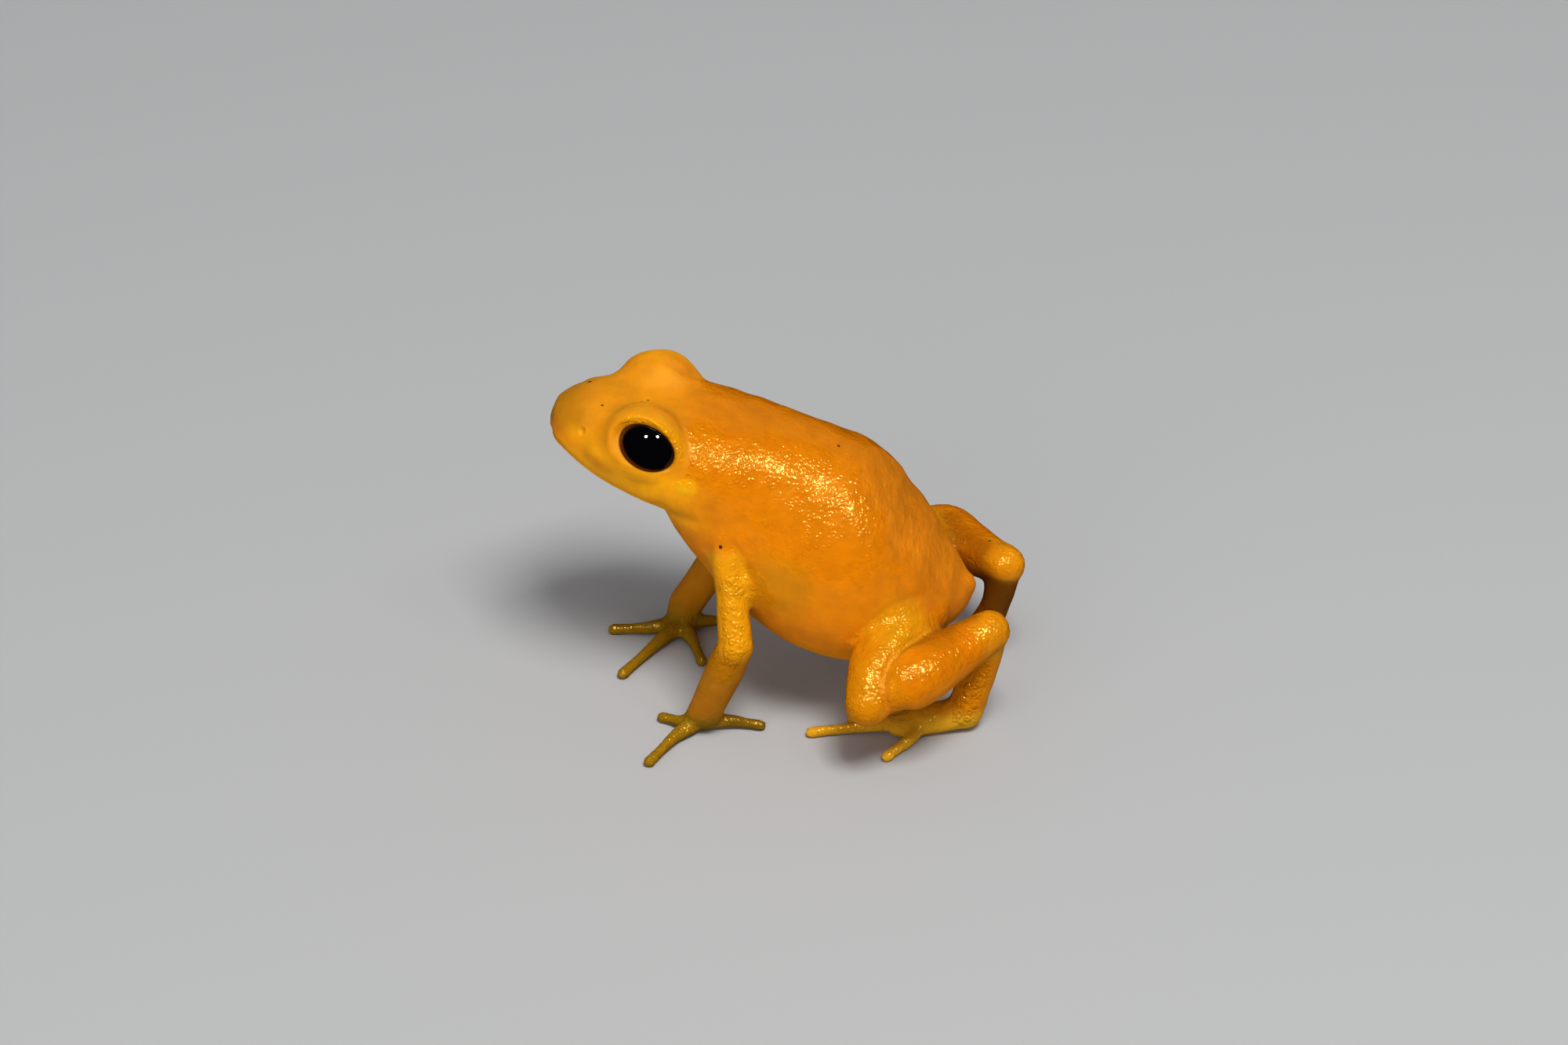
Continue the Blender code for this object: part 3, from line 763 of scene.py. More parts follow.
@dataclass
class Skin:
    """The frog's one skin, drawn over all its flesh.

    Each parting is how far outside and inside the eye's opening faces are parted in two both ways. The
    bumps are the height, size and draw of the grains, the broad swellings and the rump's wrinkles.
    """

    trunk: Trunk
    arms: list[Arm]
    legs: list[Leg]
    lids: list[Lids]
    voxel: float = 0.165
    even_rounds: int = 3
    fill_rounds: int = 90
    eye_rounds: int = 6
    parting: tuple[Pair, ...] = ((1.0, -0.5), (0.4, -0.3))
    bumps: tuple[Place, ...] = ((0.035, 0.75, 1.0), (0.012, 1.9, 5.0), (0.035, 0.5, 7.0))
    lid_shift: Place = (-0.24, -0.12, 0.14)
    lid_ball: Place = (2.28, 1.95, 2.2)
    cheek: Place = (-8.1, 2.2, 16.0)
    cheek_ball: Place = (2.9, 2.05, 1.75)
    vent: Place = (8.65, 0.0, 7.15)
    vent_ball: Place = (0.95, 0.8, 0.85)
    fillets: list[Fillet] = field(default_factory=list)
    pits: list[Pit] = field(default_factory=list)
    folds: list[Fold] = field(default_factory=list)

    def flesh(self) -> Shell:
        """All closed forms under the skin, overlapping."""
        parts = [self.trunk.shell()]
        for arm in self.arms:
            parts += arm.shells()
        for leg in self.legs:
            parts += leg.shells()
        for lid in self.lids:
            parts.append(ball(lid.side.place(np.add(lid.frame.centre, self.lid_shift)), self.lid_ball))
            parts.append(ball(lid.side.place(self.cheek), self.cheek_ball))
        parts.append(ball(self.vent, self.vent_ball))
        return Shell.joined(parts)

    def wrapped(self) -> bpy.types.Mesh:
        """One even net of four-cornered faces over the outside of all forms together."""
        obj = linked("flesh", self.flesh().mesh("flesh"))
        net = obj.modifiers.new("net", "REMESH")
        net.mode = "VOXEL"
        net.voxel_size = self.voxel
        net.adaptivity = 0.0
        made = bpy.data.meshes.new_from_object(obj.evaluated_get(bpy.context.evaluated_depsgraph_get()))
        bpy.data.objects.remove(obj)
        return made

    @staticmethod
    def edges(mesh: bpy.types.Mesh) -> Array:
        """The mesh's edges as pairs of point numbers."""
        flat = np.empty(len(mesh.edges) * 2, np.int32)
        mesh.edges.foreach_get("vertices", flat)
        return flat.reshape(-1, 2)

    @staticmethod
    def pull(points: Array, edges: Array) -> Array:
        """From each point to the mean of the points that it shares an edge with."""
        count = len(points)
        total = np.column_stack([
            np.bincount(edges[:, 0], points[edges[:, 1], axis], count)
            + np.bincount(edges[:, 1], points[edges[:, 0], axis], count)
            for axis in range(3)
        ])
        return total / np.bincount(edges.ravel(), minlength=count)[:, None] - points

    def evened(self, points: Array, edges: Array, rounds: int) -> Array:
        """Takes the net's steps out and keeps its size: a round pulls half way in, then a bit more out."""
        for _ in range(rounds):
            points = points + 0.5 * self.pull(points, edges)
            points = points - 0.52 * self.pull(points, edges)
        return points

    def filled(self, mesh: bpy.types.Mesh, rounds: int) -> None:
        """Fills the creases near each fillet's centre.

        In each round a point goes half way to its neighbours' mean, times the strength of its place, where
        that mean lies outside the skin, and a fifth as far where it lies inside.

        Args:
            mesh: The net, whose points move.
            rounds: How often each point is pulled.
        """
        edges = self.edges(mesh)
        points = vertex_places(mesh)
        weight = np.full(len(points), 0.02)
        for fillet, side in itertools.product(self.fillets, Side):
            weight = np.maximum(weight, fillet.weight(points, side))
        for turn in range(rounds):
            if turn % 6 == 0:
                set_places(mesh, points)
                normals = vertex_normals(mesh)
            pull = self.pull(points, edges)
            hollow = np.einsum("ij,ij->i", pull, normals) > 0
            points = points + pull * (0.5 * weight * np.where(hollow, 1.0, 0.2))[:, None]
        set_places(mesh, points)

    def refined(self, mesh: bpy.types.Mesh, chosen: Array) -> None:
        """Parts each face in two both ways where all its points are chosen, and fits those round them."""
        net = bmesh.new()
        net.from_mesh(mesh)
        net.edges.ensure_lookup_table()
        pairs = self.edges(mesh)
        wanted = np.flatnonzero(chosen[pairs[:, 0]] & chosen[pairs[:, 1]])
        picked = [net.edges[i] for i in wanted.tolist()]
        bmesh.ops.subdivide_edges(net, edges=picked, cuts=1, use_grid_fill=True)
        many = [f for f in net.faces if len(f.verts) > 4]
        bmesh.ops.triangulate(net, faces=many)
        net.to_mesh(mesh)
        net.free()

    def relief(self, points: Array, normals: Array) -> Array:
        """How far each point stands out from the plain skin: mouth line, pits, folds, grains and wrinkles.

        Args:
            points: The skin's points.
            normals: The direction out of the skin at each.

        Returns:
            The height in millimetres, the sum of all of them.
        """
        height = Mouth(self.trunk).relief(points)
        for side in Side:
            for mark in [*self.pits, *self.folds]:
                height += mark.relief(points, side)
        away = 1.0 - self.near_eyes(points, 0.25)
        (grain, *fine), (swell, *broad), (wrinkle, *drawn) = self.bumps
        height += away * self.graininess(points, normals) * grain * soft_noise(points, *fine)
        height += away * swell * soft_noise(points, *broad)
        rump = ramp(1.5, 4.0, points[:, 0]) * ramp(9.5, 8.0, points[:, 0]) * ramp(5.5, 8.0, points[:, 2])
        stretched = points @ np.array([[1.0, 0, 0], [0, 0.25, 0], [0.6, 0, 0.22]])
        height += wrinkle * rump * (1 - np.abs(soft_noise(stretched, *drawn)) * 2)
        return height

    def near_eyes(self, points: Array, within: float, inside: float = -math.inf) -> Array:
        """Which points lie within that distance outside the eyes' openings and less than inside in them."""
        close = np.zeros(len(points), bool)
        for lid in self.lids:
            close |= lid.near(points, within) & (lid.gap(points) > inside)
        return close

    def near_marks(self, points: Array) -> Array:
        """Which points lie at the mouth line or at a pit."""
        front = points[:, 0] < -4.0
        far = np.full(len(points), 9.0)
        far[front] = along_segments(points[front], Mouth(self.trunk).line())[0]
        close = far < 0.34
        for pit, side in itertools.product(self.pits, Side):
            close |= pit.share(points, side) < 2.2
        return close

    @staticmethod
    def graininess(points: Array, normals: Array) -> Array:
        """How grainy the skin is: most on the back and flanks, little on the snout and the digits."""
        up = ramp(-0.5, 0.5, normals[:, 2] + 0.4 * normals[:, 0])
        back = ramp(-7.5, -4.0, points[:, 0]) * (0.35 + 0.65 * up)
        low = ramp(1.2, 3.0, points[:, 2])
        return np.maximum(back, 0.22) * (0.25 + 0.75 * low)

    def build(self) -> bpy.types.Object:
        """The finished skin, still in millimetres in the frog's own frame."""
        mesh = self.wrapped()
        set_places(mesh, self.evened(vertex_places(mesh), self.edges(mesh), self.even_rounds))
        self.filled(mesh, self.fill_rounds)
        log.info("net: %d faces", len(mesh.polygons))
        for step, (within, inside) in enumerate(self.parting):
            points = vertex_places(mesh)
            close = self.near_eyes(points, within, inside)
            if step == 0:
                close |= self.near_marks(points)
            self.refined(mesh, close)
        points = vertex_places(mesh)
        evened = self.evened(points, self.edges(mesh), self.eye_rounds)
        points = np.where(self.near_eyes(points, 1.8)[:, None], evened, points)
        set_places(mesh, points)
        normals = vertex_normals(mesh)
        points = points + self.relief(points, normals)[:, None] * normals
        for lid in self.lids:
            points = lid.shaped(points)
        points[:, 2] = np.maximum(points[:, 2], 0.0)
        set_places(mesh, points)
        obj = new_piece("skin", mesh)
        log.info("skin: %d points, %d faces", len(mesh.vertices), len(mesh.polygons))
        return obj


class Nodes:
    """A small helper that adds and joins shader nodes in one material."""

    def __init__(self, name: str) -> None:
        """Starts the material with that name."""
        self.material = bpy.data.materials.new(name)
        self.material.use_nodes = True
        self.tree = self.material.node_tree
        self.surface = self.tree.nodes["Principled BSDF"]

    def put(self, target: Socket, value: object) -> None:
        """Joins a socket to the target, or sets the target to a plain value."""
        if isinstance(value, Socket):
            self.tree.links.new(value, target)
        else:
            target.default_value = value

    def add(self, kind: str, inputs: dict, output: str | int = 0, **settings: object) -> Socket:
        """Adds a node.

        Args:
            kind: The end of its type's name.
            inputs: What each input, by name or number, is joined or set to.
            output: Which output is wanted, by name or number.
            settings: The node's own settings, made before its inputs.

        Returns:
            The output's socket.
        """
        node = self.tree.nodes.new("ShaderNode" + kind)
        for key, value in settings.items():
            setattr(node, key, value)
        for key, value in inputs.items():
            self.put(node.inputs[key], value)
        return node.outputs[output]

    def attribute(self, name: str, output: str = "Fac") -> Socket:
        """What the mesh's points hold under that name."""
        return self.add("Attribute", {}, output, attribute_name=name)

    def math(self, operation: str, *values: object) -> Socket:
        """The outcome of one operation on the values."""
        return self.add("Math", dict(enumerate(values)), operation=operation)

    def mapped(self, value: Socket, old: Pair, new: Pair = (0.0, 1.0), kind: str = "LINEAR") -> Socket:
        """The value carried from the old range to the new one and held between its ends."""
        names = ("From Min", "From Max", "To Min", "To Max")
        return self.add("MapRange", {"Value": value, **dict(zip(names, (*old, *new)))}, "Result",
                        interpolation_type=kind)

    def constants(self, **values: object) -> None:
        """Sets the shader's own sockets, with spaces for the underscores in their names."""
        for key, value in values.items():
            self.surface.inputs[key.replace("_", " ")].default_value = value


@dataclass(frozen=True)
class WetSkin:
    """The finish of the skin: grainy, wet and a little see-through, with a few dark specks.

    Grain, pores, wrinkles and mottle are in cells a metre, the grain's depth is in metres, the roughness
    is that of dry and of wet skin, and each speck is a place and a radius in millimetres.
    """

    name: str = "wet_orange_skin"
    grain: float = 4300.0
    pores: float = 2900.0
    rim_radius: float = 0.34
    rim_width: float = 0.26
    rim_share: float = 0.4
    grain_depth: float = 0.00004
    wrinkles: float = 900.0
    wrinkle_stretch: Place = (4.2, 1.3, 0.8)
    wrinkle_tilt: float = -31.0
    mottle: float = 1400.0
    mottle_shade: Pair = (0.91, 1.06)
    roughness: Pair = (0.62, 0.2)
    speck_tone: tuple[float, ...] = (0.035, 0.012, 0.003, 1.0)
    specks: tuple[tuple[float, ...], ...] = (
        (-11.15, 0.93, 17.78, 0.14), (-10.15, -1.3, 17.81, 0.08), (-7.85, -0.3, 17.69, 0.08),
        (-8.17, -0.64, 17.78, 0.06), (2.24, -0.24, 15.6, 0.11), (-3.47, -4.79, 11.72, 0.12),
        (6.02, -8.59, 5.65, 0.13), (8.74, -6.69, 6.65, 0.08), (9.94, 3.97, 7.32, 0.09),
    )

    def grain_height(self, n: Nodes, place: Socket) -> Socket:
        """Smooth noise plus a low round rim about the middle of each cell of a second pattern."""
        noise = n.add("TexNoise", {"Scale": self.grain, "Detail": 1.5, "Vector": place}, "Fac")
        far = n.add("TexVoronoi", {"Scale": self.pores, "Vector": place}, "Distance", feature="F1")
        away = n.math("ABSOLUTE", n.math("SUBTRACT", far, self.rim_radius))
        rim = n.mapped(away, (self.rim_width, 0.0), kind="SMOOTHSTEP")
        return n.math("MULTIPLY_ADD", rim, self.rim_share, noise)

    def furrow_height(self, n: Nodes, place: Socket) -> Socket:
        """Fine drawn-out furrows, as deep as the attribute furrow says."""
        turn = (0.0, math.radians(self.wrinkle_tilt), 0.0)
        drawn = n.add("Mapping", {"Rotation": turn, "Scale": self.wrinkle_stretch, "Vector": place})
        noise = n.add("TexNoise", {"Scale": self.wrinkles, "Detail": 2.0, "Vector": drawn}, "Fac")
        return n.math("MULTIPLY", noise, n.attribute("furrow"))

    def tone(self, n: Nodes, place: Socket) -> Socket:
        """The tone of the skin's own points with a fine mottle and the specks."""
        noise = n.add("TexNoise", {"Scale": self.mottle, "Detail": 4.0, "Vector": place}, "Fac")
        shade = n.mapped(noise, (0.3, 0.7), self.mottle_shade)
        colour = n.add("Mix", {"Factor": 1.0, "A": n.attribute("tone", "Color"), "B": shade}, "Result",
                       data_type="RGBA", blend_type="MULTIPLY")
        for x, y, z, radius in self.specks:
            middle = (np.array([x, y, z]) - CENTRE) * MM
            far = n.add("VectorMath", {0: place, 1: middle}, "Value", operation="DISTANCE")
            share = n.mapped(far, (radius * 1.15 * MM, radius * 0.6 * MM), kind="SMOOTHSTEP")
            colour = n.add("Mix", {"Factor": share, "A": colour, "B": self.speck_tone}, "Result",
                           data_type="RGBA")
        return colour

    def material(self) -> bpy.types.Material:
        """The tone, wet grains and furrows as relief, and a roughness by the attribute wet."""
        n = Nodes(self.name)
        n.constants(
            Subsurface_Weight=0.42, Subsurface_Scale=0.0005, Subsurface_Radius=(1.0, 0.35, 0.08), IOR=1.5,
            Specular_Tint=(1.0, 0.74, 0.17, 1.0),
        )
        place = n.add("TexCoord", {}, "Object")
        grainy = n.math("MULTIPLY", self.grain_height(n, place), n.attribute("grain"))
        height = n.math("ADD", self.furrow_height(n, place), grainy)
        bump = n.add("Bump", {"Strength": 1.0, "Distance": self.grain_depth, "Height": height})
        rough = n.mapped(n.attribute("wet"), (0.0, 0.6), self.roughness)
        for name, value in (("Base Color", self.tone(n, place)), ("Normal", bump), ("Roughness", rough)):
            n.put(n.surface.inputs[name], value)
        return n.material


@dataclass(frozen=True)
class EyeGloss:
    """The finish of the eyeball: glossy black, with a thin red-brown ring at its edge."""

    name: str = "eye_black_gloss"
    stops: tuple[tuple[float, tuple[float, ...]], ...] = (
        (0.87, (0.001, 0.001, 0.0016, 1)), (0.93, (0.006, 0.002, 0.001, 1)), (1.0, (0.09, 0.016, 0.003, 1)),
    )

    def material(self) -> bpy.types.Material:
        """Black to the ring's inner edge, then red-brown, by the attribute ring."""
        n = Nodes(self.name)
        n.constants(Roughness=0.03, IOR=1.36)
        blend = n.tree.nodes.new("ShaderNodeValToRGB")
        elements = blend.color_ramp.elements
        elements[0].position, elements[1].position = self.stops[0][0], self.stops[2][0]
        elements.new(self.stops[1][0])
        for element, (_, colour) in zip(elements, self.stops):
            element.color = colour
        n.put(blend.inputs["Fac"], n.attribute("ring"))
        n.put(n.surface.inputs["Base Color"], blend.outputs["Color"])
        return n.material


@dataclass(frozen=True)
class Lamp:
    """A square soft light, facing the frog: it gives the gloss alone, or all but the gloss."""

    name: str
    direction: Place
    distance: float
    size: float
    power: float
    gloss: bool

    def build(self, target: Vector) -> None:
        """The light, that far from the target in that direction."""
        data = bpy.data.lights.new(self.name, "AREA")
        data.shape, data.size, data.energy = "SQUARE", self.size, self.power
        obj = linked(self.name, data)
        away = Vector(unit(self.direction))
        obj.location = target + away * self.distance
        obj.rotation_euler = away.to_track_quat("Z", "Y").to_euler()
        obj.visible_diffuse, obj.visible_glossy = not self.gloss, self.gloss


@dataclass
class Studio:
    """Plain pale floor, soft lights and the camera at the photograph's angle."""

    azimuth: float = 7.0
    elevation: float = 34.0
    distance: float = 0.33
    pixels_per_mm: float = 24.0
    target: Place = (-0.00006, -0.00035, 0.0103)
    floor_half: float = 3.0
    world_light: float = 0.30
    lamps: tuple[Lamp, ...] = (
        Lamp("flash_left", (-0.10, -0.45, 0.89), 0.45, 0.055, 1.9, True),
        Lamp("flash_right", (0.49, -0.30, 0.82), 0.45, 0.055, 1.9, True),
        Lamp("key", (0.2, -0.38, 0.86), 0.45, 0.14, 1.9, False),
        Lamp("front_fill", (-0.35, -0.95, 0.25), 0.6, 0.5, 1.15, False),
    )

    def camera(self) -> None:
        """The camera, far back, to flatten the view as the photograph does; azimuth 0 is due left."""
        data = bpy.data.cameras.new("camera")
        data.sensor_width = 36.0
        data.lens = 36.0 * self.distance * 1000 / (2000 / self.pixels_per_mm)
        data.clip_start, data.clip_end = 0.01, 10.0
        obj = linked("camera", data)
        a, e = math.radians(self.azimuth), math.radians(self.elevation)
        back = Vector((math.sin(a) * math.cos(e), -math.cos(a) * math.cos(e), math.sin(e)))
        obj.location = Vector(self.target) + back * self.distance
        obj.rotation_euler = back.to_track_quat("Z", "Y").to_euler()
        bpy.context.scene.camera = obj

    def floor(self) -> None:
        """A large square of pale paper just under the frog, which the gloss doesn't mirror."""
        n = Nodes("floor_paper")
        n.constants(Base_Color=(0.42, 0.42, 0.415, 1), Roughness=0.85)
        half = self.floor_half
        mesh = bpy.data.meshes.new("floor")
        corners = [(-half, -half, 0), (half, -half, 0), (half, half, 0), (-half, half, 0)]
        mesh.from_pydata(corners, [], [(0, 1, 2, 3)])
        mesh.materials.append(n.material)
        floor = linked("floor", mesh)
        floor.location.z = -0.00002
        floor.visible_glossy = False

    def build(self) -> None:
        """Floor, world, lights and camera."""
        scene = bpy.context.scene
        scene.view_settings.view_transform = "Standard"
        world = bpy.data.worlds.new("studio")
        scene.world = world
        world.use_nodes = True
        background = world.node_tree.nodes["Background"]
        background.inputs["Color"].default_value = (0.9, 0.93, 1.0, 1)
        background.inputs["Strength"].default_value = self.world_light
        world.cycles_visibility.glossy = False
        for lamp in self.lamps:
            lamp.build(Vector(self.target))
        self.floor()
        self.camera()


@dataclass
class Tones:
    """The skin's tones, as display colours, where each lies on the body, and how wet and grainy it is. Some
    of the tones are painted shade, and the toes' tone is partly painted light.
    """

    arms: list[Arm]
    legs: list[Leg]
    lids: list[Lids]
    flank: RGB = (229, 131, 3)
    back: RGB = (208, 117, 3)
    belly: RGB = (226, 142, 10)
    head: RGB = (218, 136, 5)
    cheek: RGB = (252, 170, 4)
    snout: RGB = (186, 116, 4)
    # painted shade for the jaw's down-facing underside
    jaw_shade: RGB = (176, 98, 4)
    lid_band: RGB = (220, 148, 12)
    lid_edge: RGB = (70, 22, 4)
    muzzle_stripe: RGB = (222, 116, 5)
    eardrum: RGB = (255, 184, 10)
    thigh: RGB = (208, 128, 6)
    upper_arm: RGB = (226, 150, 12)
    shank: RGB = (208, 115, 4)
    forearm: RGB = (186, 116, 8)
    # the hands' digits: their own olive tone, darkened further with painted shade; the last finger's tone
    # is more painted shade
    finger_olive_and_shade: RGB = (148, 108, 14)
    last_finger_shade: RGB = (104, 76, 12)
    # the toes' own paler tone, raised further as painted light
    toe_pale_and_light: RGB = (222, 162, 32)
    armpit: RGB = (192, 128, 8)
    groin: RGB = (210, 144, 10)
    heel_cap: RGB = (216, 140, 12)
    # painted shade for the limbs' sides that face the body
    inner_arm_shade: RGB = (140, 90, 4)
    inner_leg_shade: RGB = (158, 88, 3)
    inner_shank_shade: RGB = (100, 48, 3)
    limb_grain: float = 1.25
    digit_grain: float = 1.3
    lid_grain: float = 2.6
    arm_ridge_grain: float = 2.8
    tarsus_ridge_grain: float = 4.6
    flank_shine: Place = (0.15, 0.68, 0.72)
    limb_shine: Place = (0.05, 0.85, 0.5)
    arm_ridge_shine: Place = (0.055, 0.94, 0.34)
    tarsus_ridge_shine: Place = (-0.265, 0.962, 0.064)

    @staticmethod
    def laid(tone: Array, *layers: tuple[RGB, Array]) -> Array:
        """The tone with each layer's colour mixed in by its share, one after another."""
        for colour, share in layers:
            tone = tone + (linear(*colour) - tone) * np.clip(share, 0, 1)[:, None]
        return tone

    @staticmethod
    def along(points: Array, a: Array, b: Array, inner: float, outer: float) -> Array:
        """1 within inner of the line from a to b, falling to 0 at outer."""
        return ramp(outer, inner, along_segments(points, np.array([a, b]))[0])

    def trunk_tone(self, points: Array, normals: Array, blotch: Array, on_head: Array) -> Array:
        """The tone of the body and the head.

        Args:
            points: The skin's points.
            normals: The direction out of the skin at each.
            blotch: Large soft noise at each.
            on_head: How far each belongs to the head, 0 to 1.

        Returns:
            The tone at each point: the back's by how far it faces up, the belly's by how far it faces down,
            and the head's by level and by place along it. The jaw's underside, where it faces down, is
            darkened with painted shade.
        """
        x, y, z = points[:, 0], np.abs(points[:, 1]), points[:, 2]
        up = normals[:, 2] + 0.45 * normals[:, 0]
        level = z + 0.28 * (x + 7.5)
        stripe = hump(z + 0.30 * (x + 11.0), 15.9, 0.45) * ramp(-8.8, -9.8, x) * ramp(0.6, 1.6, y)
        return self.laid(
            np.tile(linear(*self.flank), (len(points), 1)),
            (self.back, ramp(-0.1, 0.9, up + 0.25 * blotch)),
            (self.belly, ramp(-0.35, -0.9, normals[:, 2])),
            (self.head, on_head * 0.9),
            (self.snout, on_head * ramp(-10.2, -12.0, x) * ramp(15.9, 16.5, z)),
            (self.cheek, on_head * ramp(16.6, 15.2, level) * ramp(1.3, 2.6, y) * 0.9),
            # painted shade: darker where the jaw's underside faces down
            (self.jaw_shade, on_head * ramp(-0.1, -0.55, normals[:, 2]) * ramp(14.4, 13.9, level) * 0.5),
            (self.muzzle_stripe, on_head * stripe * 0.4),
        )

    def limb_tone(self, tone: Array, points: Array, outward: Array) -> Array:
        """The tone with those of the limbs and digits laid on.

        Args:
            tone: The tone so far.
            points: The skin's points.
            outward: How far each faces away from the midline.

        Returns:
            The tone, each layer by the distance from a line along its limb. The sides that face the body
            get painted shade, darkest under the heels. The hands' digits get an olive tone darkened by
            painted shade, most on the left hand's last finger, and the toes a paler tone raised by painted
            light.
        """
        inner = ramp(0.35, -0.25, outward)
        near = functools.partial(self.along, points)
        outer, caps, shade = [], [], []
        for arm in self.arms:
            shoulder, elbow, wrist = arm.joints()
            outer += [
                (self.armpit, near(shoulder + [2.4, 0, -2.5], elbow + [2.2, 0, 3.5], 0.8, 2.6) * 0.55),
                (self.upper_arm, near(between(shoulder, elbow, 0.3), elbow, 1.0, 1.5)),
                (self.forearm, near(between(elbow, wrist, 0.25), wrist, 1.15, 1.7)),
            ]
            close = near(between(shoulder, elbow, 0.35), elbow, 1.2, 1.7)
            # painted shade on the upper arm's side that faces the body
            shade.append((self.inner_arm_shade, close * inner * 0.75))
        for leg in self.legs:
            hip, knee, heel, ankle = leg.joints()
            top = between(hip, knee, 0.45) + np.array([-0.3, 0.0, 1.6])
            outer += [
                (self.thigh, near(between(hip, knee, 0.45), knee, 1.7, 2.6)),
                (self.shank, near(between(knee, heel, 0.15), heel, 1.2, 1.8) * 0.8),
                (self.thigh, near(between(heel, ankle, 0.3), ankle, 1.0, 1.6) * 0.7),
            ]
            caps += [
                (self.groin, near(top, top, 0.9, 2.4) * 0.6),
                (self.heel_cap, near(heel, heel, 1.1, 2.1) * 0.75),
            ]
            close = near(between(hip, knee, 0.4), between(knee, heel, 0.7), 2.0, 2.8)
            under = near(between(heel, ankle, 0.25), ankle, 1.1, 1.8)
            # painted shade on the leg's sides that face the body, darkest on the tarsus
            shade += [(self.inner_leg_shade, close * inner * 0.85), (self.inner_shank_shade, under * inner * 0.9)]
        x, left = points[:, 0], points[:, 1] < 0
        low = ramp(1.9, 0.9, points[:, 2])
        tips = [
            # olive digit tone with painted shade on the hands
            (self.finger_olive_and_shade, low * (x < 0)),
            # painted shade on the left hand's last finger only
            (self.last_finger_shade, low * ramp(-3.6, -2.8, x) * (x < 0) * left * 0.7),
            # paler toe tone with painted light
            (self.toe_pale_and_light, low * (x > 0)),
        ]
        return self.laid(tone, *outer, *caps, *shade, *tips)

    def limb_lines(self) -> list[Array]:
        """The lines along the upper arms, thighs, shanks and tarsi that are wet and grainy."""
        lines = [np.array([between(*arm.joints()[:2], 0.6), arm.joints()[1]]) for arm in self.arms]
        for leg in self.legs:
            hip, knee, heel, ankle = leg.joints()
            lines += [np.array([between(hip, knee, 0.5), knee]), np.array([knee, heel, ankle])]
        return lines

    def ridges(self) -> list[tuple[Array, Place, float]]:
        """The lines of wet grains along the upper arms and the tarsi, the way each faces, and its grain."""
        lines = []
        for arm in self.arms:
            shoulder, elbow, _ = arm.joints()
            line = np.array([between(shoulder, elbow, 0.5), elbow])
            lines.append((line, self.arm_ridge_shine, self.arm_ridge_grain))
        for leg in self.legs:
            lines.append((np.array(leg.joints()[2:]), self.tarsus_ridge_shine, self.tarsus_ridge_grain))
        return lines

    def wetness(self, points: Array, facing: Array, on_head: Array) -> tuple[Array, Array]:
        """How wet and how grainy the skin is, before the lids.

        Args:
            points: The skin's points.
            facing: The direction out of the skin at each, with y outwards.
            on_head: How far each belongs to the head, 0 to 1.

        Returns:
            The wetness, 0 to 1, and the grain. Both are high where the skin faces the flashes, by the
            cosine to that direction and the distance from the limbs' lines.
        """
        x, z, up = points[:, 0], points[:, 2], facing[:, 2]
        wet = ramp(0.72, 0.93, facing @ unit(self.flank_shine)) * ramp(-7.4, -5.4, x)
        wet = wet * (0.55 + 0.45 * ramp(-0.5, 0.3, soft_noise(points, 1.3, 3.0)))
        grain = 0.3 + (1.0 + 0.5 * ramp(-2.0, -5.0, x)) * wet
        lit = np.maximum(ramp(-0.2, 0.4, up), ramp(0.5, 0.85, facing @ unit(self.limb_shine)))
        patches = 0.6 + 0.4 * ramp(-0.4, 0.4, soft_noise(points, 0.9, 13.0))
        for limb in self.limb_lines():
            close = ramp(2.9, 2.0, along_segments(points, limb)[0]) * lit
            grain = np.maximum(grain, close * self.limb_grain)
            wet = np.maximum(wet, close * patches)
        grain = np.maximum(grain, ramp(1.9, 0.9, z) * self.digit_grain)
        for fold in leg_creases(self.legs):
            far = along_segments(fold.only.place(points), fold.curve())[0]
            wet = wet * (1 - 0.9 * hump(far, 0.0, 0.3))
        for line, looks, ridge_grain in self.ridges():
            close = ramp(1.5, 1.05, along_segments(points, line)[0])
            strip = close * ramp(0.72, 0.93, facing @ unit(looks))
            grain = grain + (ridge_grain - grain) * strip
            wet = np.maximum(wet, strip)
        wet = np.maximum(wet, 0.2 * (1 - on_head) + 0.4 * ramp(2.0, 1.0, z) * ramp(-0.1, 0.5, up))
        return wet, grain

    def lid_finish(self, lid: Lids, points: Array, parts: tuple[Array, ...]) -> tuple[Array, ...]:
        """Tone, wetness, grain and the lids' own grain with one pair of lids added.

        Args:
            lid: The pair of lids.
            points: The skin's points.
            parts: The four before it.

        Returns:
            The four after it: a paler band and wet grains over the eye, painted shade in the back's tone
            along the rear of the crease above it, a dark line at the opening, and a smooth dry field round
            it.
        """
        tone, wet, grain, lid_grain = parts
        close = lid.near(points, 1.6)
        d = lid.gap(points)
        upper = lid.upper(points)
        back_part = ramp(-0.8, 0.0, lid.local(points)[0] / lid.frame.half_long)
        tone = self.laid(
            tone,
            (self.lid_band, close * upper * hump(d, 0.38, 0.36) * 0.9),
            # painted shade along the rear of the lid's crease, in the back's tone
            (self.back, close * upper * back_part * hump(d, 1.0, 0.2) * 0.6),
            (self.lid_edge, close * ramp(0.07, 0.0, d)),
        )
        wet = np.where(close, wet * ramp(0.7, 1.1, d), wet)
        wet = np.where(close, np.maximum(wet, upper * hump(d, 0.3, 0.26)), wet)
        hold = close * ramp(1.0, 0.7, d)
        lid_grain = lid_grain + close * self.lid_grain * upper * hump(d, 0.24, 0.26)
        return tone, wet, grain * (1 - hold) + hold * 0.15, lid_grain

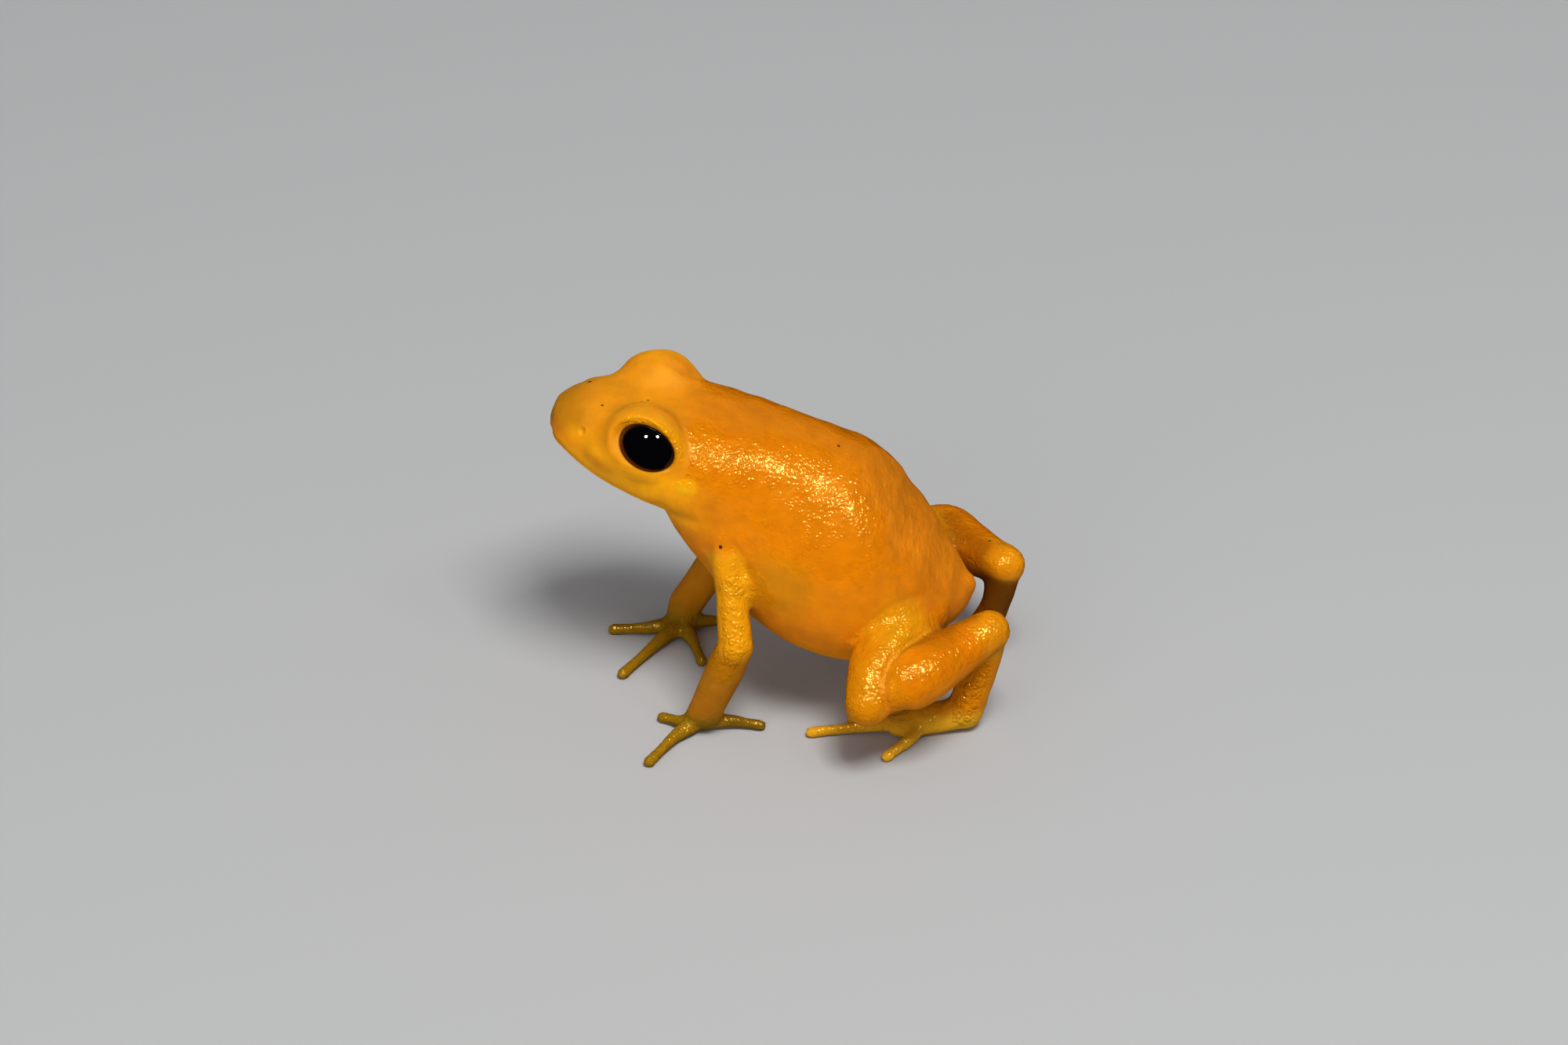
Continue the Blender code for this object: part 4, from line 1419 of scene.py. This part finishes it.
    def dress(self, obj: bpy.types.Object) -> None:
        """Stores the tone, the wetness, the grain and the furrows at the skin's points."""
        points, normals = vertex_places(obj.data), vertex_normals(obj.data)
        x, y, z = points[:, 0], np.abs(points[:, 1]), points[:, 2]
        outward = np.where(points[:, 1] < 0, -normals[:, 1], normals[:, 1])
        facing = np.column_stack([normals[:, 0], outward, normals[:, 2]])
        blotch = soft_noise(points, 2.4, 11.0)
        on_head = ramp(-3.4, -7.4, x + 0.5 * blotch) * ramp(11.0, 13.0, z)
        tone = self.limb_tone(self.trunk_tone(points, normals, blotch, on_head), points, outward)
        parts = (tone, *self.wetness(points, facing, on_head), np.zeros(len(points)))
        for lid in self.lids:
            parts = self.lid_finish(lid, points, parts)
        tone, wet, grain, lid_grain = parts
        for side in Side:
            tone = self.laid(tone, (self.eardrum, ramp(1.5, 0.8, EARDRUM.share(points, side)) * 0.6))
        tone = tone * (1 + 0.05 * soft_noise(points, 0.8, 21.0) + 0.05 * blotch)[:, None]
        rump = ramp(2.5, 5.0, x) * ramp(9.6, 8.4, x) * ramp(3.6, 2.4, y) * ramp(7.5, 9.0, z)
        write_attribute(obj.data, "tone", np.clip(tone, 0, 1))
        write_attribute(obj.data, "wet", np.clip(wet, 0, 1))
        write_attribute(obj.data, "grain", grain * (1 - 0.7 * on_head * ramp(-6.6, -7.6, x)) + lid_grain)
        write_attribute(obj.data, "furrow", 0.3 + 2.6 * rump)


NOSTRIL = Pit((-11.09, 2.45, 16.86), (0.2, 0.24, 0.2), -0.11, 0.035)
NOSTRIL_RIM = Pit((-11.2, 1.85, 17.35), (0.42, 0.4, 0.32), 0.05, 0.0)
EARDRUM = Pit((-5.3, 4.3, 14.96), (0.5, 0.46, 0.4), 0.05, -0.012)
FILLETS = [
    Fillet((-2.8, 4.6, 10.6), 3.2, 1.0),
    Fillet((6.2, 3.4, 8.0), 2.6, 0.5),
    Fillet((-7.8, 3.2, 16.2), 3.6, 1.0),
    Fillet((9.3, 3.0, 1.2), 1.6, 0.4),
]
FOLDS = [
    Fold(((-9.2, 2.4, 17.98), (-9.0, 2.22, 18.12), (-8.55, 2.28, 18.42), (-7.65, 2.18, 18.57),
          (-6.85, 2.05, 18.35), (-6.21, 2.15, 17.98), (-5.67, 2.57, 17.47), (-5.27, 3.08, 16.95)),
         0.26, 0.07),
    Fold(((-6.7, 2.0, 12.6), (-6.55, 3.0, 12.7), (-6.36, 3.6, 12.77), (-5.94, 3.92, 12.86),
          (-5.46, 4.07, 12.86), (-4.95, 4.17, 12.72), (-4.45, 4.25, 12.47)), 0.36, 0.09),
    Fold(((-4.19, 4.23, 14.15), (-4.06, 4.33, 13.0), (-4.09, 4.46, 11.84), (-4.27, 4.15, 10.52)),
         0.5, 0.12),
    Fold(((-3.23, 4.69, 12.07), (-2.59, 4.87, 11.5), (-2.15, 5.06, 10.57), (-2.01, 5.19, 9.76)),
         0.3, 0.16, 0.03),
    Fold(((3.55, 5.75, 6.3), (3.75, 5.6, 6.95), (4.4, 5.4, 7.85), (5.1, 5.1, 8.4), (6.07, 4.4, 8.76),
          (7.18, 3.15, 8.55), (8.14, 2.16, 7.96)), 0.34, 0.1),
]


def arms_of_the_frog() -> list[Arm]:
    """Both arms in the photographed pose."""
    return [
        Arm(Side.LEFT, (-2.5, 6.0, 6.4), (-4.3, 5.3, 1.35), (-4.7, -4.85, 0.5), (
            ((-4.4, -4.0, 0.38), (-4.5, -2.8, 0.24)),
            ((-5.6, -5.0, 0.42), (-6.7, -4.5, 0.24)),
            ((-5.8, -6.45, 0.42), (-6.85, -8.6, 0.24)),
            ((-2.9, -4.65, 0.45), (-1.4, -4.6, 0.24)),
        )),
        Arm(Side.RIGHT, (-3.5, 6.4, 6.2), (-6.65, 4.6, 1.4), (-6.9, 4.0, 0.5), (
            ((-5.6, 4.5, 0.40), (-4.4, 4.9, 0.24)),
            ((-6.0, 2.5, 0.42), (-5.3, 0.9, 0.24)),
            ((-8.0, 1.8, 0.45), (-9.4, -0.8, 0.24)),
            ((-8.7, 3.4, 0.42), (-10.5, 3.3, 0.24)),
        )),
    ]


def legs_of_the_frog() -> list[Leg]:
    """Both legs, folded, heels up."""
    return [
        Leg(Side.LEFT, (4.75, 8.2, 4.75), (10.6, 3.0, 6.3), (0.1, 0.82, 0.56)),
        Leg(Side.RIGHT, (5.0, 8.9, 4.85), (10.85, 3.2, 6.35), (0.1, 0.35, 0.15)),
    ]


def leg_creases(legs: list[Leg]) -> list[Fold]:
    """Where each shank lies on its thigh: one line round the shank's end, shifted with the knee."""
    path = np.array([(8.08, 3.48, 6.7), (7.21, 5.2, 7.24), (6.42, 6.33, 7.22), (5.9, 7.2, 6.98),
                     (5.6, 7.85, 6.5), (5.63, 8.48, 5.95), (5.79, 8.8, 5.15), (6.0, 8.9, 4.4)])
    first = np.array(legs[0].knee)
    return [Fold(tuple(map(tuple, path + (leg.knee - first))), 0.15, 0.2, 0.0, leg.side) for leg in legs]


def main() -> None:
    """Builds the skin, the eyes and the studio."""
    logging.basicConfig(level=logging.INFO, format="%(name)s: %(message)s")
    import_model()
    arms, legs, lids = arms_of_the_frog(), legs_of_the_frog(), [Lids(side) for side in Side]
    skin = Skin(Trunk(), arms, legs, lids, fillets=FILLETS, pits=[NOSTRIL, NOSTRIL_RIM, EARDRUM],
                folds=[*FOLDS, *leg_creases(legs)])
    body = skin.build()
    Tones(arms, legs, lids).dress(body)
    place_in_frame(body)
    body.data.materials.clear()
    body.data.materials.append(WetSkin().material())
    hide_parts(*FLESH)
    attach(body, "root")
    gloss = EyeGloss().material()
    for side in Side:
        eye = Eye(side).build()
        eye.data.materials.append(gloss)
        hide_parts("eye_" + side.value)
        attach(eye, "root")
        log.info("eyeball %s: %d faces", side.value, len(eye.data.polygons))
    Studio().build()


if __name__ == "__main__":
    main()
